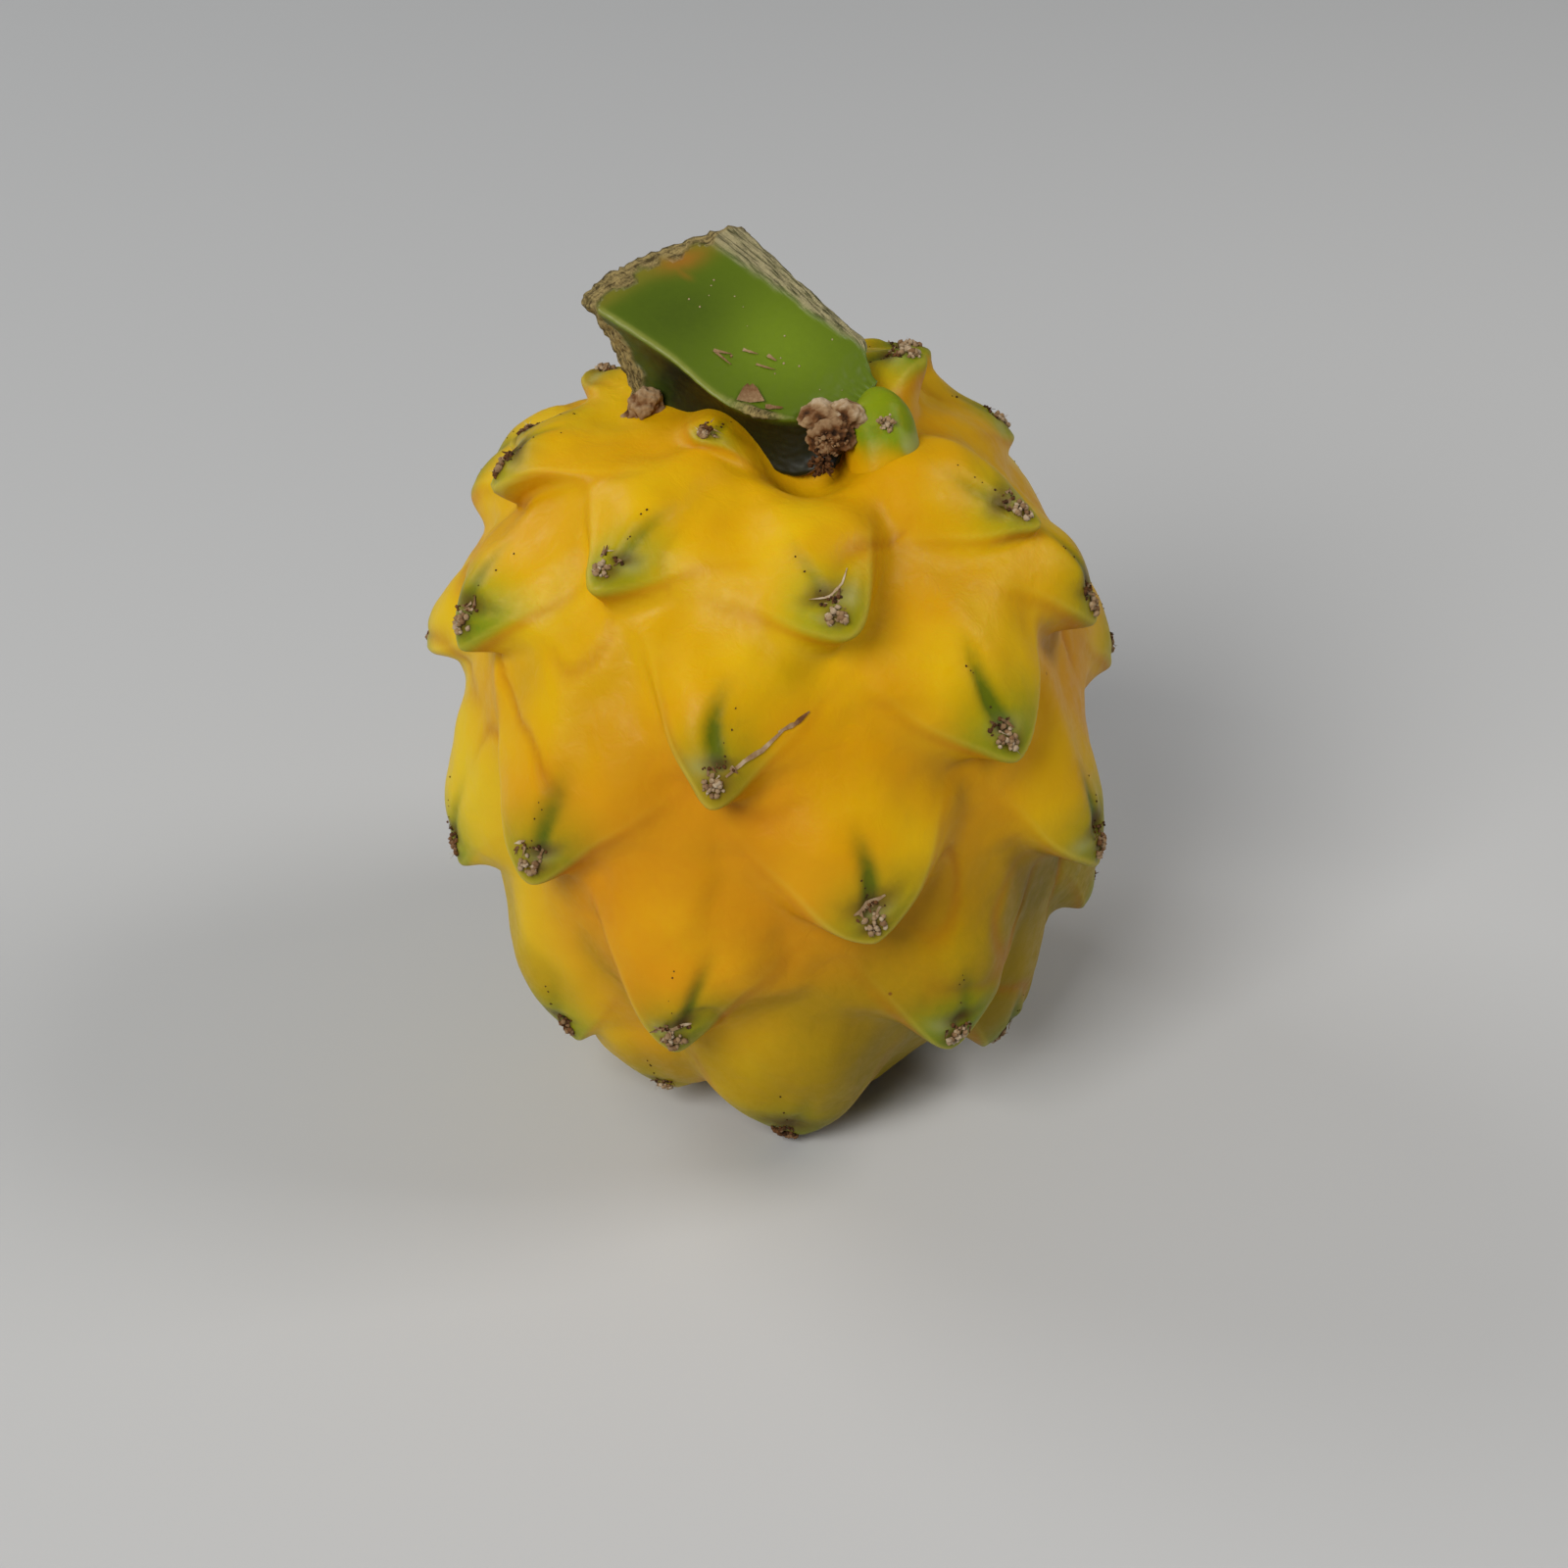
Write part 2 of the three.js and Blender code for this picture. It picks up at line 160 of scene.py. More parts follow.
def bodyPoint(way):
    half, blunt = halfAt(way[:, 2])
    across = np.hypot(way[:, 0], way[:, 1]) / body["radius"]
    along = np.abs(way[:, 2]) / half
    return way * ((across ** blunt + along ** blunt) ** (-1 / blunt))[:, None]


def bodyFrame(p):
    half, blunt = halfAt(p[:, 2])
    radius = np.hypot(p[:, 0], p[:, 1])
    outward = (radius / body["radius"]) ** (blunt - 1) / body["radius"]
    upward = np.sign(p[:, 2]) * (np.abs(p[:, 2]) / half) ** (blunt - 1) / half
    length = np.hypot(outward, upward)
    outward, upward = outward / length, upward / length
    spoke = p[:, :2] / np.maximum(radius, 1e-6)[:, None]
    normal = np.column_stack([spoke * outward[:, None], upward])
    toFlower = np.column_stack([spoke * upward[:, None], -outward])
    return normal, toFlower


def makeTubercle(k):
    chance = (vary(k, 4, spiral["turnVaries"]), vary(k, 5, spiral["polarVaries"]))
    offTurn, offPolar = offSpiral.get(k, chance)
    turn = math.radians(spiral["frontTurn"] + k * spiral["turn"] + offTurn)
    polar = spiral["frontPolar"] + k * spiral["polarStep"] + offPolar
    z = math.cos(math.radians(polar))
    half, blunt = (float(x) for x in halfAt(np.array(z)))
    r = body["radius"] * (1 - abs(z) ** blunt) ** (1 / blunt)
    foot = np.array([r * math.sin(turn), -r * math.cos(turn), half * z])
    normal, toFlower = (x[0] for x in bodyFrame(foot[None]))
    fromMiddle = min(1, abs(polar - tubercle["fullPolar"]) / tubercle["fadePolar"])
    wider, taller = growth.get(k, (1.0, 1.0))
    tall = taller * (1 + vary(k, 1, tubercle["varies"]))
    twist = math.radians(twists.get(k, vary(k, 6, spiral["twistVaries"])))
    if k > tubercle["lastFull"]:
        tall *= max(tubercle["lowestAtFlower"], 1 - (k - tubercle["lastFull"]) / tubercle["fadeAtFlower"])
    if k < tubercle["firstFull"]:
        tall *= max(tubercle["lowestAtStem"], 1 - (tubercle["firstFull"] - k) / tubercle["fadeAtStem"])
    greenMiddle, greenVaries = skin["greenShare"]
    grooveMiddle, grooveVaries = skin["grooveShare"]
    pitMiddle, pitVaries = skin["pitShare"]
    return {
        "k": k, "foot": foot, "toFlower": toFlower, "across": np.cross(toFlower, normal), "tall": tall,
        "size": wider * (1 - (1 - tubercle["smallest"]) * fromMiddle ** 2),
        "spread": tubercle["lipSpread"] * (1 + vary(k, 2, tubercle["varies"])),
        "skew": vary(k, 3, tubercle["varies"]), "cos": math.cos(twist), "sin": math.sin(twist),
        "tip": bluntTips.get(k, tubercle["tipRounding"]),
        "pinch": softTubercles.get(k, 1.0), "arm": arms.get(k, vary(k, 10, 1.0)),
        "green": greenMiddle + vary(k, 7, greenVaries),
        "groove": furrows.get(k, grooveMiddle + vary(k, 8, grooveVaries)),
        "bend": vary(k, 9, skin["grooveBend"]), "bloom": vary(k, 13, skin["bloomAside"]),
        "pit": pits.get(k, pitMiddle + vary(k, 12, pitVaries)),
    }


tubercles = [makeTubercle(k) for k in range(spiral["first"], spiral["last"] + 1)]


# Millimetres across and down from a tubercle's tip, and how far above its lip
def fromTip(bump, p):
    away = p - bump["foot"]
    s, t = away @ bump["across"], away @ bump["toFlower"]
    distance = np.linalg.norm(away, axis=1)
    flat = np.maximum(np.hypot(s, t), 1e-6)
    stretch = np.minimum(distance / flat, tubercle["mostStretch"]) / bump["size"]
    stretch[distance > tubercle["reach"]] = 1e3  # the far side of the fruit is out of reach
    t = t * stretch
    s = s * stretch + bump["skew"] * t
    s, t = s * bump["cos"] - t * bump["sin"], s * bump["sin"] + t * bump["cos"]
    lip = bump["spread"] * (bump["tip"] - np.hypot(s, bump["tip"]))
    return s, t, lip - t


# 1 on the longer arm of a tubercle's lip, -1 on its shorter one
def onArm(bump, s):
    return bump["arm"] * np.tanh(s / tubercle["tipRounding"])


def tubercleHeight(bump, s, t, above):
    arm = onArm(bump, s)
    drop = tubercle["lipDrop"] + tubercle["lipSoften"] * np.abs(s)  # the lip is sharpest at the tip
    underLip = 1 - smooth(0, 1, -above / (drop * (1 - tubercle["armSharpen"] * arm)))
    distance = (s / tubercle["width"]) ** 2 + (t / tubercle["length"]) ** 2
    distance = distance / (1 + tubercle["armStretch"] * arm) ** 2
    beak = underLip * np.exp(-distance ** tubercle["fullness"])
    along = t + tubercle["swellOffset"]
    swellLength = np.where(along < 0, tubercle["swellAbove"], tubercle["swellBelow"])
    pillow = (s / tubercle["swellWidth"]) ** 2 + (along / swellLength) ** 2
    swell = np.exp(-pillow ** tubercle["swellFullness"])
    return bump["tall"] * (tubercle["height"] * bump["pinch"] * beak + tubercle["swell"] * swell)


maskNames = ("green", "groove", "rim", "underLip", "crust", "bloom", "valleyShade", "crease", "unripeAndShade", "litFlank",
             "frontShade", "olive", "scar")


# Smooth noise at some points; a shift draws another pattern of the same size
def noiseAt(points, size, shift=0):
    return np.array([noise.noise(Vector(q)) for q in (points + shift) / size])


# The rind in each direction from the body's centre, with the masks that colour it
def rindSurface(way):
    p = bodyPoint(way)
    normal, toFlower = bodyFrame(p)
    up = way[:, 2]  # 1 at the stem end, -1 at the flower scar
    total = np.zeros(len(p))
    fine = np.zeros(len(p))
    masks = {name: np.zeros(len(p)) for name in maskNames}
    wander = np.column_stack([noiseAt(p, skin["warpSize"], shift) for shift in skin["warpShifts"]])
    bent = p + skin["warp"] * wander  # growth bends every lip a little
    fray = noiseAt(p, skin["fraySize"], 70)
    for bump in tubercles:
        s, t, above = fromTip(bump, bent)
        total += tubercleHeight(bump, s, t, above) ** tubercle["blend"]
        fromAreole = t + tubercle["areoleFromLip"]
        fromMiddle = np.hypot(s, t)
        onTop = smooth(*skin["lipEdge"], above)
        reach = skin["greenReach"]
        fromGreen = np.hypot(s / reach, (t + skin["greenAbove"]) / (skin["greenTall"] * reach))
        green = bump["green"] * onTop * (1 - smooth(*skin["greenEdge"], fromGreen))
        bend = s + bump["bend"] * np.minimum(fromAreole, 0) / skin["bendOver"]
        along = smooth(*skin["grooveStart"], -t) * (1 - smooth(*skin["grooveEnd"], -t))
        groove = bump["groove"] * along * hill(bend / skin["grooveWidth"])
        rim = skin["rimShare"] + skin["rimOnArm"] * onArm(bump, s)
        rim = rim * hill((above - skin["rimAbove"]) / skin["rimWidth"]) * hill(fromMiddle / skin["rimReach"])
        pit = hill((fromAreole + skin["pitAbove"] + bump["pit"]) / (skin["pitTall"] * bump["pit"]))
        pit = pit * hill(s / (skin["pitWide"] * bump["pit"]))
        pit = pit * smooth(*skin["pitEdge"], pit + skin["pitFray"] * fray)
        cup = hill(np.hypot(s, fromAreole) / skin["cupRadius"])
        # Painted shade in a band just under each lip
        under = hill((above + skin["underBelow"]) / skin["underWidth"])
        under = under * hill(fromMiddle / skin["underReach"])
        bloom = onTop * hill((s - bump["bloom"]) / skin["bloomWide"])
        bloom = bloom * hill((t + skin["bloomAbove"]) / skin["bloomTall"])
        fine += bump["tall"] * (skin["rimHeight"] * rim - skin["grooveDepth"] * groove
                                - skin["pitDepth"] * pit - skin["cupDepth"] * cup)
        for name, mask in (("green", green), ("groove", groove), ("rim", rim), ("underLip", under),
                           ("crust", np.maximum(pit, cup)), ("bloom", bloom)):
            masks[name] = np.maximum(masks[name], mask * min(1, bump["tall"]))
    height = total ** (1 / tubercle["blend"])
    fold = np.array([skin["foldWidth"], skin["foldWidth"], skin["foldLength"]])
    ridge = np.abs(noiseAt(bent, skin["creaseSize"], 50))
    creased = smooth(*skin["creasePatch"], noiseAt(p, skin["creasePatchSize"], 90))
    # Crease lines, sunk a little into the rind and darkened with painted shade in its colour
    masks["crease"] = hill(ridge / skin["creaseWidth"]) * creased
    atStem = 1 + skin["lumpsAtStem"] * smooth(*skin["stemFrom"], up)
    fine += skin["lumpHeight"] * atStem * noiseAt(p, skin["lumpSize"])
    fine += skin["crinkleHeight"] * noiseAt(p, skin["crinkleSize"])
    fine += skin["foldHeight"] * noiseAt(bent, fold) - skin["creaseDepth"] * masks["crease"]
    place = p + normal * (height + fine)[:, None] + toFlower * (tubercle["slant"] * height)[:, None]
    place[:, 0] -= body["lean"] * (np.maximum(place[:, 2], 0) / body["halfTop"]) ** 2
    fromHollow = np.linalg.norm(place[:, :2] - body["hollow"], axis=1) / body["hollowRadius"]
    place[:, 2] -= np.where(place[:, 2] > 0, body["hollowDepth"] * hill(fromHollow), 0)
    place[:, 2] = np.maximum(place[:, 2] + body["middle"], 0)
    # Painted orange shade in the low ground between tubercles, with less of it near both ends
    masks["valleyShade"] = 1 - smooth(*skin["valleyHeight"], height)
    for most, end, low, high in skin["valleyFades"]:
        masks["valleyShade"] *= 1 - most * smooth(low, high, end * up)
    masks["scar"] = 1 - smooth(*skin["scarHeight"], place[:, 2])
    drift = skin["drift"] * noiseAt(p, skin["driftSize"], 30)
    # Side masks by which way the rind faces: painted light on the left flank, painted shade on the lower
    # front, unripe colour with painted shade on the lower right
    for name, (side, low, high) in skin["sides"].items():
        masks[name] = smooth(low, high, way @ np.array(side) + drift)
    # The painted shade on the lower front fades out towards the flower end
    masks["frontShade"] *= 1 - smooth(*skin["frontShadeEnd"], -up)
    # On the flank with painted light, the painted shade of the valleys and under the lips mostly clears
    for name in ("valleyShade", "underLip"):
        masks[name] *= 1 - skin["litFlankClears"] * masks["litFlank"]
    masks["olive"] = smooth(*skin["olivePatch"], noiseAt(bent, skin["oliveSize"], 110))
    masks["olive"] *= smooth(*skin["oliveFrom"], -up)
    return place, masks


def unit(vectors):
    return vectors / np.linalg.norm(vectors, axis=1)[:, None]


def roundBall(level):
    ball = bmesh.new()
    bmesh.ops.create_icosphere(ball, subdivisions=level, radius=1)
    return ball, np.array([v.co for v in ball.verts])


def moveVerts(verts, place):
    for vert, spot in zip(verts, place):
        vert.co = spot * mm


# A ball of small faces, finer round the lips, that the rind is drawn on
def fineBall():
    ball, corners = roundBall(skin["sphereLevel"])
    p = bodyPoint(unit(corners))
    wanted = np.zeros(len(p), bool)
    for bump in tubercles:
        s, t, above = fromTip(bump, p)
        for reach, low, high in skin["fineNear"]:
            wanted |= (np.hypot(s, t) < reach) & (above > low) & (above < high)
    ball.verts.ensure_lookup_table()
    edges = [e for e in ball.edges if wanted[e.verts[0].index] and wanted[e.verts[1].index]]
    bmesh.ops.subdivide_edges(ball, edges=edges, cuts=1, use_grid_fill=True)
    bmesh.ops.triangulate(ball, faces=[f for f in ball.faces if len(f.verts) > 3])
    ball.verts.index_update()
    return ball


def addPiece(name, mesh, material):
    data = bpy.data.meshes.new(name)
    mesh.to_mesh(data)
    mesh.free()
    return dressPiece(name, data, material)


def dressPiece(name, data, material):
    data.polygons.foreach_set("use_smooth", [True] * len(data.polygons))
    data.materials.append(material)
    piece = bpy.data.objects.new(name, data)
    bpy.context.scene.collection.objects.link(piece)
    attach(piece, "root")
    return piece


def writeMasks(piece, masks):
    for name, values in masks.items():
        attribute = piece.data.attributes.new(name, "FLOAT", "POINT")
        attribute.data.foreach_set("value", np.asarray(values, np.float32))


def patternScale(size):
    return 1 / (size * mm)


def startMaterial(name):
    material = bpy.data.materials.new(name)
    material.use_nodes = True
    tree = material.node_tree
    shader = tree.nodes["Principled BSDF"]
    place = addNode(tree, "ShaderNodeTexCoord", {}, {}).outputs["Object"]
    return material, tree, shader, place


# One more colour over the others where a mask of the mesh says so, its edge frayed by a fine pattern
def addLayer(tree, base, frayed, name, most, tint):
    mask = addNode(tree, "ShaderNodeAttribute", {"attribute_name": name}, {}).outputs["Fac"]
    edge = addNode(tree, "ShaderNodeMath", {"operation": "MULTIPLY_ADD", "use_clamp": True}, {
        0: frayed.outputs[0], 1: mask, 2: mask})
    share = addNode(tree, "ShaderNodeMath", {"operation": "MULTIPLY"}, {
        0: edge.outputs[0], 1: most}).outputs[0]
    base = addNode(tree, "ShaderNodeMix", {"data_type": "RGBA"}, {0: share, 6: base, 7: tint}).outputs[2]
    return base, share


# Ripe fruit rind: a waxed, slightly translucent skin, so highlights are broad and soft
# and shadows glow orange
# Among its colour layers, the lighter left flank is painted light, and the valleys, lower front, lips'
# undersides, creases and in part the lower right are painted shade
rind = {
    "yellow": "#dcb508", "gold": "#d39f04", "orange": "#c88604", "shade": "#ad6604", "litFlank": "#d8bc22",
    "frontShade": "#d98e06", "olive": "#9c8006", "unripeAndShade": "#7c7202", "green": "#748c0c", "darkGreen": "#4c6006",
    "rim": "#d2bc48", "bloom": "#a3a66a", "crust": "#4f3216", "scar": "#8a6a40", "speck": "#7a4314",
    # Masks from the lowest layer up, how much of each shows and its colour
    "layers": (
        ("litFlank", 0.85, "litFlank"), ("frontShade", 0.75, "frontShade"), ("valleyShade", 0.65, "orange"),
        ("unripeAndShade", 0.9, "unripeAndShade"), ("olive", 0.7, "olive"), ("underLip", 0.6, "shade"),
        ("crease", 0.5, "shade"), ("green", 0.95, "green"), ("groove", 0.9, "darkGreen"),
        ("rim", 0.7, "rim"), ("bloom", 0.6, "bloom"), ("crust", 0.85, "crust"), ("scar", 1.0, "scar"),
    ),
    "patchSize": 16.0, "patchFrom": 0.35, "patchTo": 0.65, "mottleSize": 1.3, "fray": 0.5,
    "speckSpacing": 11.0, "speckSize": 0.35, "speckShare": 0.8,
    "wrinkleSize": 2.4, "wrinkleDepth": 0.35, "wrinkleBump": 0.4,
    "poreSize": 0.55, "poreDepth": 0.05, "poreBump": 0.12,
    "roughness": 0.42, "smoother": 0.06, "rougher": 0.1, "ior": 1.42, "specular": 0.2,
    "glow": 0.18, "glowDepth": 2.0, "glowReach": (1.0, 0.45, 0.08),
}


def makeRindMaterial():
    material, tree, shader, place = startMaterial("waxyRipeRind")
    patches = addNode(tree, "ShaderNodeTexNoise", {}, {
        "Vector": place, "Scale": patternScale(rind["patchSize"]), "Detail": 2.0})
    blend = addNode(tree, "ShaderNodeMapRange", {}, {
        "Value": patches.outputs["Fac"], "From Min": rind["patchFrom"], "From Max": rind["patchTo"]})
    mottle = addNode(tree, "ShaderNodeTexNoise", {}, {
        "Vector": place, "Scale": patternScale(rind["mottleSize"]), "Detail": 4.0, "Roughness": 0.6})
    yellow, gold = linearColour(rind["yellow"]), linearColour(rind["gold"])
    base = addNode(tree, "ShaderNodeMix", {"data_type": "RGBA"}, {
        0: blend.outputs["Result"], 6: yellow, 7: gold}).outputs[2]
    frayed = addNode(tree, "ShaderNodeMath", {"operation": "MULTIPLY_ADD"}, {
        0: mottle.outputs["Fac"], 1: rind["fray"], 2: -rind["fray"] / 2})
    for name, most, tint in rind["layers"]:
        base, _ = addLayer(tree, base, frayed, name, most, linearColour(rind[tint]))
    dots = addNode(tree, "ShaderNodeTexVoronoi", {}, {
        "Vector": place, "Scale": patternScale(rind["speckSpacing"]), "Randomness": 1.0})
    speckEdge = rind["speckSize"] / rind["speckSpacing"]
    specks = addNode(tree, "ShaderNodeMapRange", {}, {
        "Value": dots.outputs["Distance"], "From Min": speckEdge, "From Max": speckEdge / 2,
        "To Min": 0.0, "To Max": rind["speckShare"]})
    base = addNode(tree, "ShaderNodeMix", {"data_type": "RGBA"}, {
        0: specks.outputs["Result"], 6: base, 7: linearColour(rind["speck"])}).outputs[2]
    tree.links.new(base, shader.inputs["Base Color"])
    gloss = addNode(tree, "ShaderNodeMapRange", {}, {
        "Value": mottle.outputs["Fac"], "From Min": 0.3, "From Max": 0.7,
        "To Min": rind["roughness"] - rind["smoother"], "To Max": rind["roughness"] + rind["rougher"]})
    tree.links.new(gloss.outputs["Result"], shader.inputs["Roughness"])
    wrinkles = addNode(tree, "ShaderNodeTexNoise", {}, {
        "Vector": place, "Scale": patternScale(rind["wrinkleSize"]), "Detail": 3.0, "Distortion": 0.6})
    pores = addNode(tree, "ShaderNodeTexNoise", {}, {
        "Vector": place, "Scale": patternScale(rind["poreSize"]), "Detail": 2.0})
    low = addNode(tree, "ShaderNodeBump", {}, {
        "Height": wrinkles.outputs["Fac"], "Strength": rind["wrinkleBump"],
        "Distance": rind["wrinkleDepth"] * mm})
    bump = addNode(tree, "ShaderNodeBump", {}, {
        "Height": pores.outputs["Fac"], "Strength": rind["poreBump"], "Distance": rind["poreDepth"] * mm,
        "Normal": low.outputs["Normal"]})
    tree.links.new(bump.outputs["Normal"], shader.inputs["Normal"])
    shader.inputs["IOR"].default_value = rind["ior"]
    shader.inputs["Specular IOR Level"].default_value = rind["specular"]
    shader.inputs["Subsurface Weight"].default_value = rind["glow"]
    shader.inputs["Subsurface Radius"].default_value = rind["glowReach"]
    shader.inputs["Subsurface Scale"].default_value = rind["glowDepth"] * mm
    return material


def makeFruit():
    ball = fineBall()
    place, masks = rindSurface(unit(np.array([v.co for v in ball.verts])))
    moveVerts(ball.verts, place)
    piece = addPiece("rind", ball, rindMaterial)
    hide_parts("fruit")
    writeMasks(piece, masks)
    print("rind:", len(piece.data.polygons), "faces")


rindMaterial = makeRindMaterial()
makeFruit()

# The smooth green lobe that leans against the wrinkled end of the stem
lobe = {
    "centre": (15.2, -8.5, 90.0), "radii": (4.5, 5.3, 7.4), "lean": 37.0, "level": 5,
    "lumpSize": 4.5, "lumpHeight": 0.8, "greenHeight": (89.0, 93.0), "greenStray": 2.0,
    "bloomHeight": 91.5, "bloomTall": 1.5, "bloomPatch": (0.0, 0.3),
}


def makeLobe():
    ball, corners = roundBall(lobe["level"])
    turn = np.array(Quaternion((1, 0, 0), -math.radians(lobe["lean"])).to_matrix())
    out = corners * np.array(lobe["radii"]) @ turn.T
    place = out + lobe["centre"]
    lumpy = noiseAt(place, lobe["lumpSize"])
    place += unit(out) * (lobe["lumpHeight"] * lumpy)[:, None]
    moveVerts(ball.verts, place)
    piece = addPiece("stemLobe", ball, rindMaterial)
    bloom = hill((place[:, 2] - lobe["bloomHeight"]) / lobe["bloomTall"])
    writeMasks(piece, {"green": smooth(*lobe["greenHeight"], place[:, 2] + lobe["greenStray"] * lumpy),
                       "bloom": bloom * smooth(*lobe["bloomPatch"], lumpy)})
    print("lobe:", len(piece.data.polygons), "faces")


makeLobe()

# Corky areoles near the tips: grey-beige grains, dark crumbs and dry flakes above them, and a few bristles
areole = {
    "wide": 1.15, "tall": 1.4, "leastSize": 0.55, "sizeWithTip": 0.5, "mostSize": 1.15,
    "grains": 24, "grainSize": (0.2, 0.46), "grainTone": (0.42, 0.88), "grainLift": 0.35, "middleLift": 0.6,
    "crumbs": 9, "crumbSize": (0.12, 0.32), "crumbTone": (0.02, 0.32), "crumbFlat": 0.7, "crumbLift": 0.1,
    "crumbArc": 1.7, "crumbsAbove": 2.1, "arcBend": 0.5, "arcStray": 0.25,
    "flakes": 5, "flakeLength": (0.7, 1.5), "flakeWidth": 0.42, "flakeCurl": (0.1, 0.5),
    "flakeTone": (0.35, 0.8), "flakeDown": 0.6,
    "bristles": 3, "bristleLength": (0.8, 1.5), "bristleRadius": 0.07, "bristleTone": 0.95,
    "bristleStray": 0.5, "bristleDown": 0.3,
    "dots": 4, "dotSize": (0.08, 0.17), "dotTone": 0.1, "dotsFrom": 2.7, "dotsTo": 6.5, "dotsBend": 0.6,
    "dotStray": 0.15,
    "browned": {-16: 0.25, -11: 0.25, 2: 0.3, 10: 0.3, 11: 0.2, 18: 0.3, 21: 0.4},
}
grain = {"level": 1, "jitter": 0.28}
flake = {
    "steps": 4, "lift": 0.05, "pullBack": 0.25, "narrows": 0.75, "ragged": 0.25,
    "cupped": 0.15, "fades": 0.35,
}
# Torn strips of silvery skin: the tubercle, points across and down from its tip, width, tones at both ends
tornSkin = {
    "steps": 4, "ends": 0.25, "ragged": (0.6, 1.1), "lowLift": 0.05, "highLift": 0.14, "toneVaries": 0.15,
    "strips": (
        (0, ((-1.0, -4.2), (-2.6, -5.6), (-4.4, -6.4), (-6.6, -8.6)), 0.9, (0.62, 0.72)),
        (0, ((-6.0, -8.4), (-8.0, -9.4), (-9.6, -11.0)), 0.7, (0.6, 0.3)),
        (-5, ((1.6, -6.0), (-0.6, -5.6), (-2.4, -6.2), (-3.9, -7.4)), 0.35, (0.75, 0.85)),
        (8, ((1.9, -4.9), (0.0, -5.2), (-1.9, -5.7)), 0.8, (0.5, 0.7)),
        (13, ((2.0, -4.7), (0.0, -4.9), (-1.8, -5.2)), 0.6, (0.7, 0.8)),
        (-8, ((1.6, -5.2), (0.3, -5.9)), 0.3, (1.0, 0.8)),
        (5, ((2.0, -4.6), (0.6, -5.8)), 0.45, (0.9, 0.6)),
    ),
}
rng = np.random.default_rng(21)


# Body points at places given across and down from a tubercle's tip
def onBody(bump, s, t):
    flatS = (s * bump["cos"] + t * bump["sin"]) * bump["size"]
    flatT = (t * bump["cos"] - s * bump["sin"]) * bump["size"]
    return bump["foot"] + np.outer(flatS, bump["across"]) + np.outer(flatT, bump["toFlower"])


def onRind(bump, s, t):
    p = onBody(bump, np.atleast_1d(np.asarray(s, float)), np.atleast_1d(np.asarray(t, float)))
    place, _ = rindSurface(unit(p))
    normal, toFlower = bodyFrame(bodyPoint(unit(p)))
    return place, normal, toFlower


def plainBall(level):
    ball, corners = roundBall(level)
    faces = [[v.index for v in f.verts] for f in ball.faces]
    ball.free()
    return corners, faces


grainCorners, grainFaces = plainBall(grain["level"])
floorLevel = np.array([-np.inf, -np.inf, 0.0])  # nothing hangs below the floor


def addFaces(litter, corners, faces, tones):
    first = len(litter["corners"])
    litter["corners"].extend(np.maximum(corners, floorLevel) * mm)
    litter["faces"].extend([[first + i for i in face] for face in faces])
    litter["tones"].extend(tones)


# One grain is a jittered ball of few faces
def addGrain(litter, centre, radii, tone):
    turn = np.array(Quaternion(rng.normal(size=4)).normalized().to_matrix())
    rough = 1 + grain["jitter"] * rng.uniform(-1, 1, (len(grainCorners), 1))
    corners = np.asarray(centre) + (grainCorners * rough * np.asarray(radii)) @ turn.T
    addFaces(litter, corners, grainFaces, [tone] * len(corners))


# A dry curled scale of skin: a strip that bends away from the surface along its length
def addFlake(litter, foot, along, normal, length, width, curl, tone):
    along, normal = (np.asarray(v) / np.linalg.norm(v) for v in (along, normal))
    side = np.cross(along, normal)
    corners, tones, faces = [], [], []
    for step in range(flake["steps"] + 1):
        x = step / flake["steps"]
        spine = foot + along * (length * x * (1 - flake["pullBack"] * curl * x))
        spine = spine + normal * (curl * length * x * x + flake["lift"])
        ragged = 1 + rng.uniform(-flake["ragged"], flake["ragged"])
        half = width / 2 * (1 - flake["narrows"] * x * x) * ragged
        cupped = normal * (flake["cupped"] * width)
        corners += [spine + side * (half * e) + cupped * (e * e) for e in (-1, 0, 1)]
        tones += [tone * (1 - flake["fades"] * x)] * 3
    for row in range(flake["steps"]):
        faces += [[3 * row + i, 3 * row + i + 1, 3 * row + i + 4, 3 * row + i + 3] for i in (0, 1)]
    addFaces(litter, corners, faces, tones)


# A ribbon of torn skin, draped a little above the rind
def addTorn(litter, bump, points, width, tones):
    path = np.array(points)
    steps = tornSkin["steps"] * (len(path) - 1) + 1
    x = np.linspace(0, len(path) - 1, steps)
    s, t = (np.interp(x, np.arange(len(path)), path[:, i]) for i in (0, 1))
    place, normal, _ = onRind(bump, s, t)
    side = unit(np.cross(np.gradient(place, axis=0), normal))
    taper = np.sin(np.linspace(tornSkin["ends"], math.pi - tornSkin["ends"], steps))
    half = width / 2 * taper * rng.uniform(*tornSkin["ragged"], steps)
    low = place - side * half[:, None] + tornSkin["lowLift"] * normal
    high = place + side * half[:, None] + tornSkin["highLift"] * normal
    varies = tornSkin["toneVaries"]
    shades = np.linspace(*tones, steps) + rng.uniform(-varies, varies, steps)
    faces = [[i, i + 1, steps + i + 1, steps + i] for i in range(steps - 1)]
    addFaces(litter, np.vstack([low, high]), faces, np.concatenate([shades, shades]))


def addBristle(litter, foot, way, length, radius, tone):
    turn = np.array(Vector(way).to_track_quat("Z", "Y").to_matrix())
    ring = [(math.cos(a) * radius, math.sin(a) * radius, 0) for a in np.linspace(0, 2 * math.pi, 6)[:5]]
    corners = np.asarray(foot) + np.array(ring + [(0, 0, length)]) @ turn.T
    addFaces(litter, corners, [[i, (i + 1) % 5, 5] for i in range(5)], [tone] * 6)


